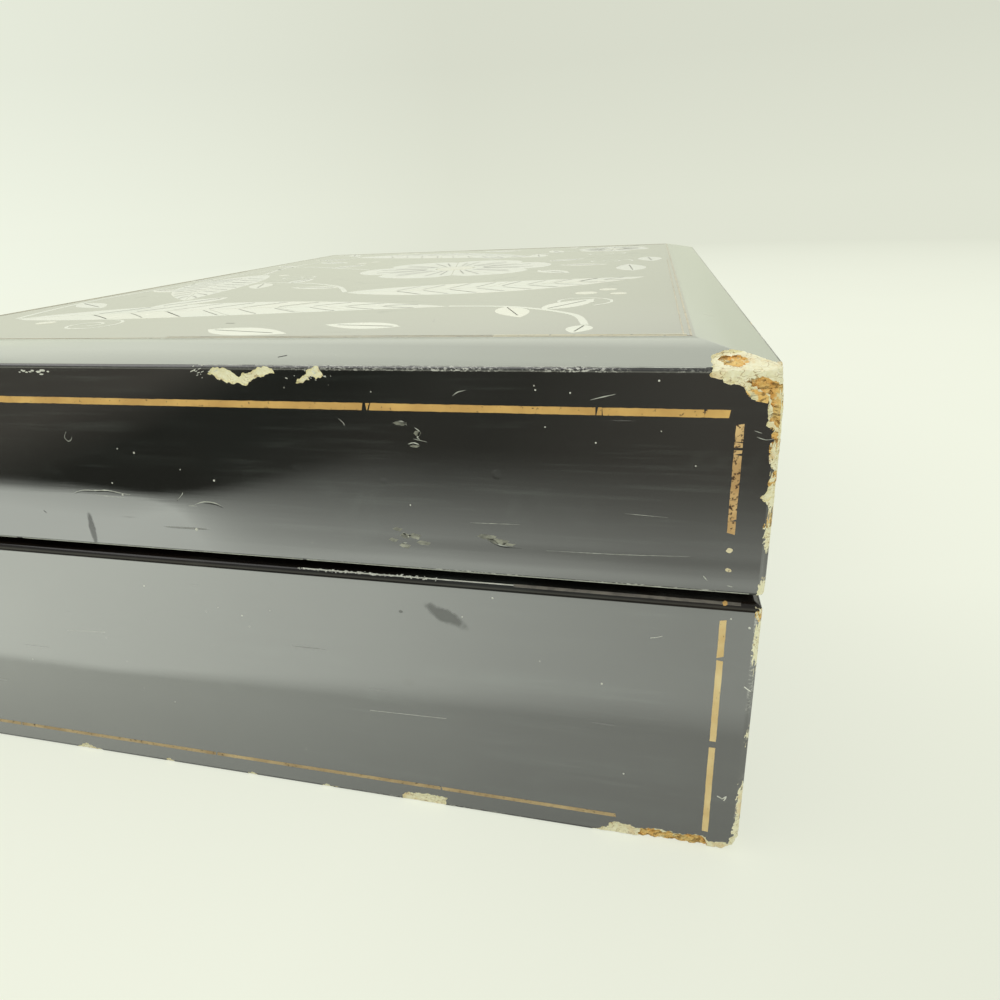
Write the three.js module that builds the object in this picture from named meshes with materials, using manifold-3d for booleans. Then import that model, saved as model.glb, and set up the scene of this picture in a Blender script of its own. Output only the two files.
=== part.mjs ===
// A lacquered wooden jewelry box: a base, a hinged lid with a mirror and a lift-out tray.
// Millimetres, +Z up. The origin is under the middle of the box, on the surface it stands on.
// X runs along the box, the front is at -Y and the two hinges are at +Y.
import * as THREE from "three";
import { mergeVertices } from "three/addons/utils/BufferGeometryUtils.js";
import Module from "manifold-3d";

const wasm = await Module();
wasm.setup();

// Outside of the closed box
const boxLength = 286;
const boxDepth = 203;
const boxHeight = 95;
const cornerRadius = 1.2;
const baseHeight = 53.2;
const seamGap = 1.6;

// Boards
const baseWall = 9;
const lidWall = 8.2;
const baseRimRadius = 1.5;
const footRadius = 0.8;
const lidRimRadius = 0.6;
const glueLine = 0.05;

// Bottom board and its felt
const bottomBoard = 5;
const bottomRecess = 1;
const feltThickness = 0.8;
const feltInset = 1.5;

// Lid panel with its bevelled border
const panelEdge = 4;
const bevelWidth = 12.5;
const bevelRise = 2.7;
const panelEdgeRadius = 0.8;
const panelInnerCorner = 0.2;

// Lining of the base, whose top edge is the lip inside the lid
const linerWall = 2.5;
const lipRise = 5.6;
const floorPadThickness = 2;
const softGap = 0.3;

// Felt dots that the lid comes down on
const restPadRadius = 2.5;
const restPadInset = 45;

// Tray
const lowerSpace = 26;
const ledgeWidth = 4;
const ledgeEndGap = 12;
const seatGap = 0.1;
const trayClearance = 1;
const trayHeight = 22;
const trayWall = 3;
const trayFloor = 2;
const dividerWall = 2.5;
const dividerDrop = 2;
const ringRolls = 4;
const ringRollRadius = 9.2;
const ringRollPitch = 19.6;
const ringRollLength = 108;
const ringSide = 0.6;
const rearCompartment = 76;
const middleCompartment = 86;
const tabWidth = 14;
const tabThickness = 0.8;
const tabLength = 12;
const tabDrop = 0.5;

// Mirror in the lid and the mouldings that hold it
const mirrorThickness = 3;
const mouldingWidth = 14;
const mouldingThickness = 5;
const mirrorOverlap = 2;
const mouldingRound = 1.6;

// Hinges
const openAngle = 100;
const hingeEndDistance = 58;
const hingeWidth = 28;
const axisInset = 1.8;
const stopClearance = 0.3;
const knuckleRadius = 1.8;
const knuckleGap = 0.3;
const knuckleRoom = 0.35;
const middleKnuckle = 10;
const pinRadius = 0.8;
const pinRoom = 0.15;
const pinHeadRadius = 1.3;
const pinHeadLength = 0.7;
const leafClearance = 0.2;
const leafSetback = 0.3;

// Hinge screws
const screwSpacing = 16;
const screwLength = 7;
const screwShankRadius = 0.65;
const screwHeadRadius = 1.3;
const screwHeadHeight = 0.6;
const screwRoom = 0.12;
const screwSlotWidth = 0.3;
const screwSlotDepth = 0.25;

// Shell inlay, flush with the top of the panel
const shellThickness = 0.8;
const shellJoint = 0.2;
const leafLength = 100;
const leafWidth = 28;
const leafBow = 8;
const blossomRadius = 37;
const budRadius = 17;
const leafSteps = 12;
const petalCount = 6;
const petalSteps = 7;
const petalDepth = 0.2;

// Each leaf: its middle as shares of the flat part of the panel, its heading in degrees,
// and its length, width and bow as shares of the leaf sizes above
const shellLeaves = [
  { name: "shell_leaf_long", at: [-0.73, 0.22], heading: 276, long: 1.12, wide: 0.96, bow: 1 },
  { name: "shell_leaf_broad", at: [-0.33, -0.43], heading: 287, long: 0.88, wide: 1, bow: -0.75 },
  { name: "shell_leaf_curled", at: [0.64, 0.16], heading: 248, long: 1.04, wide: 1.07, bow: 1.25 },
  { name: "shell_leaf_rear", at: [-0.21, 0.65], heading: 193, long: 0.84, wide: 0.9, bow: -0.75 },
];

// Each blossom: its middle as shares of the flat part of the panel, and its turn in degrees
const shellBlossoms = [
  { name: "shell_blossom_large", at: [0.14, -0.11], turn: 12, radius: blossomRadius },
  { name: "shell_blossom_small", at: [0.79, -0.72], turn: 40, radius: budRadius },
];

// Heights and places that follow from the sizes above
const halfLength = boxLength / 2;
const halfDepth = boxDepth / 2;
const lidBottom = baseHeight + seamGap;
const bevelSlope = bevelRise / bevelWidth;
const panelRim = boxHeight - bevelRise;
const panelUnder = panelRim - panelEdge;
const floorTop = bottomRecess + bottomBoard;
const padTop = floorTop + glueLine + floorPadThickness;
const lipTop = baseHeight + lipRise;
const linerHalfX = halfLength - baseWall - glueLine;
const linerHalfY = halfDepth - baseWall - glueLine;
const insideHalfX = linerHalfX - linerWall;
const insideHalfY = linerHalfY - linerWall;
const trayBottom = padTop + lowerSpace;
const trayTop = trayBottom + trayHeight;
const trayHalfX = insideHalfX - trayClearance;
const trayHalfY = insideHalfY - trayClearance;
const trayFloorTop = trayBottom + trayFloor;
const dividerTop = trayTop - dividerDrop;
const axisY = halfDepth - axisInset;
const axisZ = baseHeight + seamGap / 2;

const circleSides = 24;
const screwSides = 12;
const rollSides = 20;
const roundSteps = 4;
const overshoot = 1;

const paints = {
  lacquer: { color: 0x0d0b0a, roughness: 0.25, metalness: 0 },
  wood: { color: 0xb98a55, roughness: 0.8, metalness: 0 },
  velvet: { color: 0x5c0f18, roughness: 0.95, metalness: 0 },
  felt: { color: 0x1c3324, roughness: 1, metalness: 0 },
  brass: { color: 0xb08d45, roughness: 0.35, metalness: 1 },
  mirror: { color: 0xd8dde0, roughness: 0.03, metalness: 1 },
  ribbon: { color: 0x7a1420, roughness: 0.7, metalness: 0 },
  shell: { color: 0xe9ebdc, roughness: 0.3, metalness: 0 },
};

const radians = THREE.MathUtils.degToRad;
const alongX = new THREE.Matrix4().makeBasis(
  new THREE.Vector3(0, 1, 0),
  new THREE.Vector3(0, 0, 1),
  new THREE.Vector3(1, 0, 0),
);
const alongY = new THREE.Matrix4().makeBasis(
  new THREE.Vector3(0, 0, 1),
  new THREE.Vector3(1, 0, 0),
  new THREE.Vector3(0, 1, 0),
);

function solidOf(geometry) {
  const bare = geometry.index ? geometry.toNonIndexed() : geometry.clone();
  bare.deleteAttribute("normal");
  bare.deleteAttribute("uv");
  const merged = mergeVertices(bare, 1e-4);
  const mesh = new wasm.Mesh({
    numProp: 3,
    vertProperties: merged.attributes.position.array,
    triVerts: new Uint32Array(merged.index.array),
  });
  return new wasm.Manifold(mesh);
}

function geometryOf(solid) {
  const mesh = solid.getMesh();
  const geometry = new THREE.BufferGeometry();
  geometry.setAttribute("position", new THREE.BufferAttribute(mesh.vertProperties, 3));
  geometry.setIndex(new THREE.BufferAttribute(mesh.triVerts, 1));
  return geometry;
}

// A block between two corners
function block(low, high) {
  const size = high.map((value, axis) => value - low[axis]);
  const geometry = new THREE.BoxGeometry(...size);
  return geometry.translate(...low.map((value, axis) => value + size[axis] / 2));
}

function extrude(shape, depth) {
  const options = { depth, bevelEnabled: false, curveSegments: roundSteps };
  return new THREE.ExtrudeGeometry(shape, options);
}

// A prism along X, from a shape drawn with y to the right and z up
function prismAlongX(shape, fromX, toX) {
  return extrude(shape, toX - fromX).applyMatrix4(alongX).translate(fromX, 0, 0);
}

// A prism along Y, from a shape drawn with z to the right and x up
function prismAlongY(shape, fromY, toY) {
  return extrude(shape, toY - fromY).applyMatrix4(alongY).translate(0, fromY, 0);
}

function polygon(points) {
  return new THREE.Shape(points.map(([a, b]) => new THREE.Vector2(a, b)));
}

function rodAlongX(radius, fromX, toX) {
  const rod = new THREE.CylinderGeometry(radius, radius, toX - fromX, circleSides);
  return rod.rotateZ(Math.PI / 2).translate((fromX + toX) / 2, 0, 0);
}

// A closed skin over rings of equal count, from the lowest to the highest
function loft(rings) {
  const count = rings[0].length;
  const positions = rings.flat(2);
  const index = [];
  for (let ring = 0; ring < rings.length - 1; ring++) {
    for (let i = 0; i < count; i++) {
      const next = (i + 1) % count;
      const a = ring * count + i;
      const b = ring * count + next;
      index.push(a, b, b + count, a, b + count, a + count);
    }
  }
  const top = (rings.length - 1) * count;
  for (let i = 1; i < count - 1; i++) {
    index.push(0, i + 1, i);
    index.push(top, top + i, top + i + 1);
  }
  const geometry = new THREE.BufferGeometry();
  geometry.setAttribute("position", new THREE.Float32BufferAttribute(positions, 3));
  geometry.setIndex(index);
  return geometry;
}

// A level rectangle with round corners, counter-clockwise seen from above
function roundedRing(halfX, halfY, radius, z) {
  const corners = [
    [1, 1, 0],
    [-1, 1, 90],
    [-1, -1, 180],
    [1, -1, 270],
  ];
  return corners.flatMap(([signX, signY, start]) => {
    const points = [];
    for (let step = 0; step <= roundSteps; step++) {
      const angle = radians(start + (90 * step) / roundSteps);
      const x = signX * (halfX - radius) + radius * Math.cos(angle);
      const y = signY * (halfY - radius) + radius * Math.sin(angle);
      points.push([x, y, z]);
    }
    return points;
  });
}

// The plan of one mitred board: outer face on y = 0, length along X, thickness towards +y
function mitredPlan(length, wall, radius) {
  const half = length / 2 - glueLine * Math.SQRT1_2;
  const plan = new THREE.Shape();
  plan.moveTo(half - wall, wall);
  plan.lineTo(-half + wall, wall);
  if (radius > 0) {
    plan.absarc(-half + radius, radius, radius, radians(225), radians(270), false);
    plan.absarc(half - radius, radius, radius, radians(270), radians(315), false);
  } else {
    plan.lineTo(-half, 0);
    plan.lineTo(half, 0);
  }
  plan.closePath();
  return plan;
}

// A mitred board from its plan and its section, drawn with depth to the right and z up
function mitredBoard(length, wall, radius, section, low, high) {
  const plan = extrude(mitredPlan(length, wall, radius), high - low + 2 * overshoot);
  plan.translate(0, 0, low - overshoot);
  const run = prismAlongX(section, -length / 2, length / 2);
  return solidOf(plan).intersect(solidOf(run));
}

function boardSection(wall, low, high, lowRadius, highRadius) {
  const section = new THREE.Shape();
  section.moveTo(wall, low);
  section.lineTo(wall, high);
  if (highRadius > 0) {
    section.absarc(highRadius, high - highRadius, highRadius, radians(90), radians(180), false);
  } else {
    section.lineTo(0, high);
  }
  if (lowRadius > 0) {
    section.absarc(lowRadius, low + lowRadius, lowRadius, radians(180), radians(270), false);
  } else {
    section.lineTo(0, low);
  }
  section.closePath();
  return section;
}

// The four sides, as the turn and place of a board whose outer face looks along its own -y
const sides = {
  front: { turn: 0, x: 0, y: -1, along: "x" },
  right: { turn: 90, x: 1, y: 0, along: "y" },
  rear: { turn: 180, x: 0, y: 1, along: "x" },
  left: { turn: -90, x: -1, y: 0, along: "y" },
};

function place(mesh, side, halfX, halfY) {
  mesh.rotation.z = radians(side.turn);
  mesh.position.set(side.x * halfX, side.y * halfY, 0);
  return mesh;
}

// The bevels along the rear edges of base and lid. They meet when the lid is wide open.
const halfOpen = radians(openAngle / 2);
const bevelStart =
  axisInset - ((seamGap / 2) * Math.cos(halfOpen) - stopClearance) / Math.sin(halfOpen);

function bevelDrop(distanceIn) {
  return (stopClearance + Math.sin(halfOpen) * (axisInset - distanceIn)) / Math.cos(halfOpen);
}

// What the bevel takes off, as distance in from the rear face and height. facing is -1 on the base.
function rearBevel(facing) {
  const edge = axisZ + (facing * seamGap) / 2;
  return [
    [bevelStart, edge],
    [-overshoot, axisZ + facing * bevelDrop(-overshoot)],
    [-overshoot, edge - facing * overshoot],
    [bevelStart, edge - facing * overshoot],
  ];
}

function cutRearBevel(solid, sideName, wall, facing) {
  const points = rearBevel(facing);
  if (sideName === "front") {
    return solid;
  }
  if (sideName === "rear") {
    const cutter = prismAlongX(polygon(points), -halfLength - overshoot, halfLength + overshoot);
    return solid.subtract(solidOf(cutter));
  }
  const towardsRear = sideName === "right" ? 1 : -1;
  const shape = polygon(points.map(([inward, z]) => [z, towardsRear * (halfDepth - inward)]));
  const cutter = prismAlongY(shape, -overshoot, wall + overshoot);
  return solid.subtract(solidOf(cutter));
}

// Hinge places along the box
const hinges = [
  { name: "left", x: -halfLength + hingeEndDistance },
  { name: "right", x: halfLength - hingeEndDistance },
];
const leafThickness = seamGap / 2 - glueLine - leafClearance / 2;
const leafReach = lidWall - leafSetback - axisInset;
const screwInset = (knuckleRadius + knuckleRoom + leafReach) / 2 + axisInset;

// A countersunk screw or its hole, point down, with the top of its head at z = 0
function screwBody(room) {
  const head = screwHeadRadius + room;
  const shank = screwShankRadius + room;
  const tip = screwLength + room;
  const profile = [
    [0, room],
    [head, room],
    [head, 0],
    [shank, -screwHeadHeight],
    [shank, -tip + shank],
    [0, -tip],
  ];
  const outline = room > 0 ? profile : profile.slice(0, 1).concat(profile.slice(2));
  const points = outline.map(([radius, z]) => new THREE.Vector2(radius, z)).reverse();
  return solidOf(new THREE.LatheGeometry(points, screwSides).rotateX(Math.PI / 2));
}

// Turns a piece of the base half of the hinge into the same piece of the lid half
function facingUp(solid) {
  return solid.rotate([0, 180, 0]);
}

function screwSolid() {
  const slot = block(
    [-screwHeadRadius - overshoot, -screwSlotWidth / 2, -screwSlotDepth],
    [screwHeadRadius + overshoot, screwSlotWidth / 2, overshoot],
  );
  return screwBody(0).subtract(solidOf(slot));
}

const screwPlaces = [-screwSpacing / 2, screwSpacing / 2];
const headTop = leafClearance / 2;

// What the hinges take out of a rear board, in the board's own frame. facing is -1 on the base.
function cutHingeRoom(solid, facing) {
  let cut = solid;
  for (const hinge of hinges) {
    const roomRadius = knuckleRadius + knuckleRoom;
    const roomEnd = hingeWidth / 2 + pinHeadLength + knuckleRoom;
    const room = rodAlongX(roomRadius, -roomEnd, roomEnd);
    cut = cut.subtract(solidOf(room.translate(-hinge.x, axisInset, axisZ)));
    for (const along of screwPlaces) {
      const hole = facing < 0 ? screwBody(screwRoom) : facingUp(screwBody(screwRoom));
      const height = axisZ + facing * headTop;
      cut = cut.subtract(hole.translate([-hinge.x + along, screwInset, height]));
    }
  }
  return cut;
}

// One leaf with its knuckles, around an axis at y = 0 and z = 0, reaching to -y
function leafSolid(facing) {
  const half = hingeWidth / 2;
  const middle = middleKnuckle / 2;
  const outer = [
    [-half, -middle - knuckleGap],
    [middle + knuckleGap, half],
  ];
  const inner = [[-middle, middle]];
  const own = facing < 0 ? outer : inner;
  const other = facing < 0 ? inner : outer;
  const near = (facing * leafClearance) / 2;
  const far = near + facing * leafThickness;
  const plate = block([-half, -leafReach, Math.min(near, far)], [half, 0, Math.max(near, far)]);
  const room = knuckleRadius + knuckleRoom;
  let leaf = solidOf(plate);
  for (const [from, to] of other) {
    const slot = rodAlongX(room, from - knuckleGap, to + knuckleGap);
    leaf = leaf.subtract(solidOf(slot));
  }
  for (const [from, to] of own) {
    leaf = leaf.add(solidOf(rodAlongX(knuckleRadius, from, to)));
  }
  leaf = leaf.subtract(solidOf(rodAlongX(pinRadius + pinRoom, -half - overshoot, half + overshoot)));
  for (const along of screwPlaces) {
    const hole = facing < 0 ? screwBody(screwRoom) : facingUp(screwBody(screwRoom));
    leaf = leaf.subtract(hole.translate([along, axisInset - screwInset, near]));
  }
  return leaf;
}

function pinSolid() {
  const half = hingeWidth / 2;
  const shaft = solidOf(rodAlongX(pinRadius, -half - pinHeadLength / 2, half + pinHeadLength / 2));
  const start = half + seatGap;
  const right = solidOf(rodAlongX(pinHeadRadius, start, start + pinHeadLength));
  const left = solidOf(rodAlongX(pinHeadRadius, -start - pinHeadLength, -start));
  return shaft.add(right).add(left);
}

// The place on the lid of a point given as shares of the flat part of the panel
function onPanel([shareX, shareY]) {
  return [shareX * (halfLength - bevelWidth), shareY * (halfDepth - bevelWidth)];
}

// A leaf outline with a pointed tip, grown outwards by some room
function leafOutline(leaf, room) {
  const [middleX, middleY] = onPanel(leaf.at);
  const heading = radians(leaf.heading);
  const length = leaf.long * leafLength + 2 * room;
  const upper = [];
  const lower = [];
  for (let step = 0; step <= leafSteps; step++) {
    const share = step / leafSteps;
    const along = (share - 0.5) * length;
    const swell = Math.sin(Math.PI * share ** 0.8) ** 0.85;
    const half = step % leafSteps === 0 ? 0 : (leaf.wide * leafWidth * swell) / 2 + room;
    const bow = leaf.bow * leafBow * (1 - (2 * share - 1) ** 2);
    upper.push([along, bow + half]);
    lower.push([along, bow - half]);
  }
  const ring = lower.concat(upper.slice(1, -1).reverse());
  return ring.map(([along, across]) => [
    middleX + along * Math.cos(heading) - across * Math.sin(heading),
    middleY + along * Math.sin(heading) + across * Math.cos(heading),
  ]);
}

// A blossom outline with notched petals, grown outwards by some room
function blossomOutline(blossom, room) {
  const [middleX, middleY] = onPanel(blossom.at);
  const steps = petalCount * petalSteps;
  const ring = [];
  for (let step = 0; step < steps; step++) {
    const share = (step % petalSteps) / petalSteps;
    const notch = petalDepth * (1 - Math.sin(Math.PI * share) ** 0.5);
    const radius = blossom.radius * (1 - notch) + room;
    const angle = radians(blossom.turn) + (2 * Math.PI * step) / steps;
    ring.push([middleX + radius * Math.cos(angle), middleY + radius * Math.sin(angle)]);
  }
  return ring;
}

function shellPlate(outline, low, high) {
  return extrude(polygon(outline), high - low).translate(0, 0, low);
}

const shells = [
  ...shellLeaves.map((leaf) => ({ name: leaf.name, outline: (room) => leafOutline(leaf, room) })),
  ...shellBlossoms.map((blossom) => ({
    name: blossom.name,
    outline: (room) => blossomOutline(blossom, room),
  })),
];

const root = new THREE.Group();
const base = new THREE.Group();
const lid = new THREE.Group();
const tray = new THREE.Group();
root.add(base, lid, tray);

function addMesh(group, name, shape, paint) {
  const geometry = shape.isBufferGeometry ? shape : geometryOf(shape);
  geometry.computeVertexNormals();
  const mesh = new THREE.Mesh(geometry, new THREE.MeshStandardMaterial(paints[paint]));
  mesh.name = name;
  group.add(mesh);
  return mesh;
}

// Outer boards of base and lid
for (const [name, side] of Object.entries(sides)) {
  const length = side.along === "x" ? boxLength : boxDepth;
  const baseSection = boardSection(baseWall, 0, baseHeight, footRadius, baseRimRadius);
  let baseBoard = mitredBoard(length, baseWall, cornerRadius, baseSection, 0, baseHeight);
  baseBoard = cutRearBevel(baseBoard, name, baseWall, -1);
  const lidTop = panelUnder - glueLine;
  const lidSection = boardSection(lidWall, lidBottom, lidTop, lidRimRadius, 0);
  let lidBoard = mitredBoard(length, lidWall, cornerRadius, lidSection, lidBottom, lidTop);
  lidBoard = cutRearBevel(lidBoard, name, lidWall, 1);
  if (name === "rear") {
    baseBoard = cutHingeRoom(baseBoard, -1);
    lidBoard = cutHingeRoom(lidBoard, 1);
  }
  place(addMesh(base, "base_" + name, baseBoard, "lacquer"), side, halfLength, halfDepth);
  place(addMesh(lid, "lid_" + name, lidBoard, "lacquer"), side, halfLength, halfDepth);
}

// Bottom board and the felt under it
const bottomHalfX = halfLength - baseWall - glueLine;
const bottomHalfY = halfDepth - baseWall - glueLine;
const bottom = addMesh(
  base,
  "base_bottom",
  new THREE.BoxGeometry(2 * bottomHalfX, 2 * bottomHalfY, bottomBoard),
  "wood",
);
bottom.position.z = bottomRecess + bottomBoard / 2;
const felt = addMesh(
  base,
  "base_felt",
  new THREE.BoxGeometry(
    2 * (bottomHalfX - feltInset),
    2 * (bottomHalfY - feltInset),
    feltThickness,
  ),
  "felt",
);
felt.position.z = bottomRecess - glueLine - feltThickness / 2;

// Lining of the base: long walls at front and rear, short walls between them
const linerHeight = lipTop - floorTop - glueLine;
const linerMiddle = floorTop + glueLine + linerHeight / 2;
for (const [name, side] of Object.entries(sides)) {
  const long = side.along === "x";
  const run = long ? 2 * linerHalfX : 2 * (linerHalfY - linerWall - glueLine);
  const size = long ? [run, linerWall, linerHeight] : [linerWall, run, linerHeight];
  const liner = addMesh(base, "liner_" + name, new THREE.BoxGeometry(...size), "velvet");
  const middleX = side.x * (linerHalfX - linerWall / 2);
  const middleY = side.y * (linerHalfY - linerWall / 2);
  liner.position.set(middleX, middleY, linerMiddle);
}
const floorPad = addMesh(
  base,
  "floor_pad",
  new THREE.BoxGeometry(
    2 * (insideHalfX - softGap),
    2 * (insideHalfY - softGap),
    floorPadThickness,
  ),
  "velvet",
);
floorPad.position.z = floorTop + glueLine + floorPadThickness / 2;

// Ledges that carry the tray, at both ends
const ledgeHeight = trayBottom - seatGap - padTop - glueLine;
const ledgeLength = 2 * (insideHalfY - ledgeEndGap);
for (const name of ["left", "right"]) {
  const size = [ledgeWidth, ledgeLength, ledgeHeight];
  const ledge = addMesh(base, "ledge_" + name, new THREE.BoxGeometry(...size), "velvet");
  const middleX = insideHalfX - glueLine - ledgeWidth / 2;
  ledge.position.set(sides[name].x * middleX, 0, padTop + glueLine + ledgeHeight / 2);
}

// Felt dots on the front edge of the base
for (const name of ["left", "right"]) {
  const height = seamGap - 2 * glueLine;
  const dot = new THREE.CylinderGeometry(restPadRadius, restPadRadius, height, circleSides);
  const pad = addMesh(base, "rest_pad_" + name, dot.rotateX(Math.PI / 2), "felt");
  const middleY = -halfDepth + (baseRimRadius + baseWall) / 2;
  pad.position.set(sides[name].x * (halfLength - restPadInset), middleY, axisZ);
}

// Lid panel: an upright edge, a small round, a wide bevel and a flat top
const bevelAngle = Math.atan(bevelSlope);
const roundEnd = Math.PI / 2 - bevelAngle;
const roundInset = panelEdgeRadius * (1 - Math.cos(roundEnd));
const roundCentre =
  panelRim + bevelSlope * roundInset - panelEdgeRadius * Math.sin(roundEnd);
const panelRings = [roundedRing(halfLength, halfDepth, cornerRadius, panelUnder)];
for (let step = 0; step <= roundSteps; step++) {
  const angle = (roundEnd * step) / roundSteps;
  const inset = panelEdgeRadius * (1 - Math.cos(angle));
  const z = roundCentre + panelEdgeRadius * Math.sin(angle);
  const radius = cornerRadius - (inset * (cornerRadius - panelInnerCorner)) / panelEdgeRadius;
  panelRings.push(roundedRing(halfLength - inset, halfDepth - inset, radius, z));
}
panelRings.push(
  roundedRing(halfLength - bevelWidth, halfDepth - bevelWidth, panelInnerCorner, boxHeight),
);
let panel = solidOf(loft(panelRings));
for (const shell of shells) {
  const pocketFloor = boxHeight - shellThickness - glueLine;
  const pocket = shellPlate(shell.outline(shellJoint), pocketFloor, boxHeight + overshoot);
  panel = panel.subtract(solidOf(pocket));
  const plate = shellPlate(shell.outline(0), boxHeight - shellThickness, boxHeight);
  addMesh(lid, shell.name, plate, "shell");
}
addMesh(lid, "lid_panel", panel, "lacquer");

// Mirror and its mouldings, under the panel
const mouldingHalfX = halfLength - lidWall - glueLine;
const mouldingHalfY = halfDepth - lidWall - glueLine;
const mouldingTop = panelUnder - glueLine;
const mouldingLow = mouldingTop - mouldingThickness;
const mirrorInset = mouldingWidth - mirrorOverlap;
const mirror = addMesh(
  lid,
  "mirror",
  new THREE.BoxGeometry(
    2 * (mouldingHalfX - mirrorInset),
    2 * (mouldingHalfY - mirrorInset),
    mirrorThickness,
  ),
  "mirror",
);
mirror.position.z = mouldingTop - mirrorThickness / 2;
const rebateWidth = mirrorInset - softGap;
const rebateLow = mouldingTop - mirrorThickness - softGap;
for (const [name, side] of Object.entries(sides)) {
  const section = new THREE.Shape();
  section.moveTo(0, mouldingTop);
  section.lineTo(0, mouldingLow);
  section.lineTo(mouldingWidth - mouldingRound, mouldingLow);
  section.lineTo(mouldingWidth, rebateLow);
  section.lineTo(rebateWidth, rebateLow);
  section.lineTo(rebateWidth, mouldingTop);
  section.closePath();
  const length = 2 * (side.along === "x" ? mouldingHalfX : mouldingHalfY);
  const strip = mitredBoard(length, mouldingWidth, 0, section, mouldingLow, mouldingTop);
  const mesh = addMesh(lid, "mirror_moulding_" + name, strip, "velvet");
  place(mesh, side, mouldingHalfX, mouldingHalfY);
}

// Hinges with their screws
for (const hinge of hinges) {
  const halves = [
    { group: base, half: "base", facing: -1 },
    { group: lid, half: "lid", facing: 1 },
  ];
  for (const { group, half, facing } of halves) {
    const leafName = "hinge_" + hinge.name + "_" + half + "_leaf";
    const leaf = addMesh(group, leafName, leafSolid(facing), "brass");
    leaf.position.set(hinge.x, axisY, axisZ);
    screwPlaces.forEach((along, i) => {
      const screwName = "screw_" + hinge.name + "_" + half + "_" + (i + 1);
      const screw = addMesh(group, screwName, screwSolid(), "brass");
      screw.rotation.y = facing < 0 ? 0 : Math.PI;
      const height = axisZ + facing * headTop;
      screw.position.set(hinge.x + along, halfDepth - screwInset, height);
    });
  }
  const pin = addMesh(base, "hinge_" + hinge.name + "_pin", pinSolid(), "brass");
  pin.position.set(hinge.x, axisY, axisZ);
}

// Tray floor and walls
const trayFloorMesh = addMesh(
  tray,
  "tray_floor",
  new THREE.BoxGeometry(2 * trayHalfX, 2 * trayHalfY, trayFloor),
  "velvet",
);
trayFloorMesh.position.z = trayBottom + trayFloor / 2;
const wallHeight = trayTop - trayFloorTop - glueLine;
const wallMiddle = trayFloorTop + glueLine + wallHeight / 2;
for (const [name, side] of Object.entries(sides)) {
  const long = side.along === "x";
  const run = long ? 2 * trayHalfX : 2 * (trayHalfY - trayWall - glueLine);
  const size = long ? [run, trayWall, wallHeight] : [trayWall, run, wallHeight];
  const wall = addMesh(tray, "tray_" + name, new THREE.BoxGeometry(...size), "velvet");
  const middleX = side.x * (trayHalfX - trayWall / 2);
  const middleY = side.y * (trayHalfY - trayWall / 2);
  wall.position.set(middleX, middleY, wallMiddle);
}

// Dividers: the ring space at the rear left, one long space beside it and three in front
const cellLeft = -trayHalfX + trayWall + glueLine;
const cellRight = trayHalfX - trayWall - glueLine;
const cellFront = -trayHalfY + trayWall + glueLine;
const cellRear = trayHalfY - trayWall - glueLine;
const ringSpaceWidth = (ringRolls - 1) * ringRollPitch + 2 * (ringRollRadius + ringSide);
const crossLeft = cellLeft + ringSpaceWidth;
const crossRight = crossLeft + dividerWall;
const longLeft = crossRight + glueLine;
const rearLow = cellRear - rearCompartment;
const ringLow = cellRear - ringRollLength - 2 * softGap;
const shortLeft = longLeft + middleCompartment;
const dividers = {
  divider_ring_side: [crossLeft, crossRight, cellFront, cellRear],
  divider_ring_front: [cellLeft, crossLeft - glueLine, ringLow - dividerWall, ringLow],
  divider_long: [longLeft, cellRight, rearLow - dividerWall, rearLow],
  divider_short: [shortLeft, shortLeft + dividerWall, cellFront, rearLow - dividerWall - glueLine],
};
for (const [name, [x0, x1, y0, y1]] of Object.entries(dividers)) {
  const low = trayFloorTop + glueLine;
  const size = [x1 - x0, y1 - y0, dividerTop - low];
  const divider = addMesh(tray, name, new THREE.BoxGeometry(...size), "velvet");
  divider.position.set((x0 + x1) / 2, (y0 + y1) / 2, (low + dividerTop) / 2);
}

// Ring rolls
for (let roll = 0; roll < ringRolls; roll++) {
  const form = new THREE.CylinderGeometry(
    ringRollRadius,
    ringRollRadius,
    ringRollLength,
    rollSides,
  );
  const mesh = addMesh(tray, "ring_roll_" + (roll + 1), form, "velvet");
  const x = cellLeft + ringSide + ringRollRadius + roll * ringRollPitch;
  const y = cellRear - softGap - ringRollLength / 2;
  mesh.position.set(x, y, trayFloorTop + softGap + ringRollRadius);
}

// Ribbon tabs that lift the tray, inside the front and rear walls
for (const name of ["front", "rear"]) {
  const strip = new THREE.BoxGeometry(tabWidth, tabThickness, tabLength);
  const tab = addMesh(tray, "pull_tab_" + name, strip, "ribbon");
  const middleY = trayHalfY - trayWall - softGap - tabThickness / 2;
  tab.position.set(0, sides[name].y * middleY, trayTop - tabDrop - tabLength / 2);
}

export default root;
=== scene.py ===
"""The looks of the lacquer jewelry box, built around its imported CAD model.

X runs along the box, the front is at -Y, the hinges are at +Y and the floor is z = 0. Shapes are written in
millimetres and turned into metres when a mesh is made. The photographed end is the left end, at -X."""

import random
from math import atan, cos, degrees, dist, pi, radians, sin

import bmesh
import bpy
from mathutils import Matrix, Vector, geometry, noise


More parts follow.
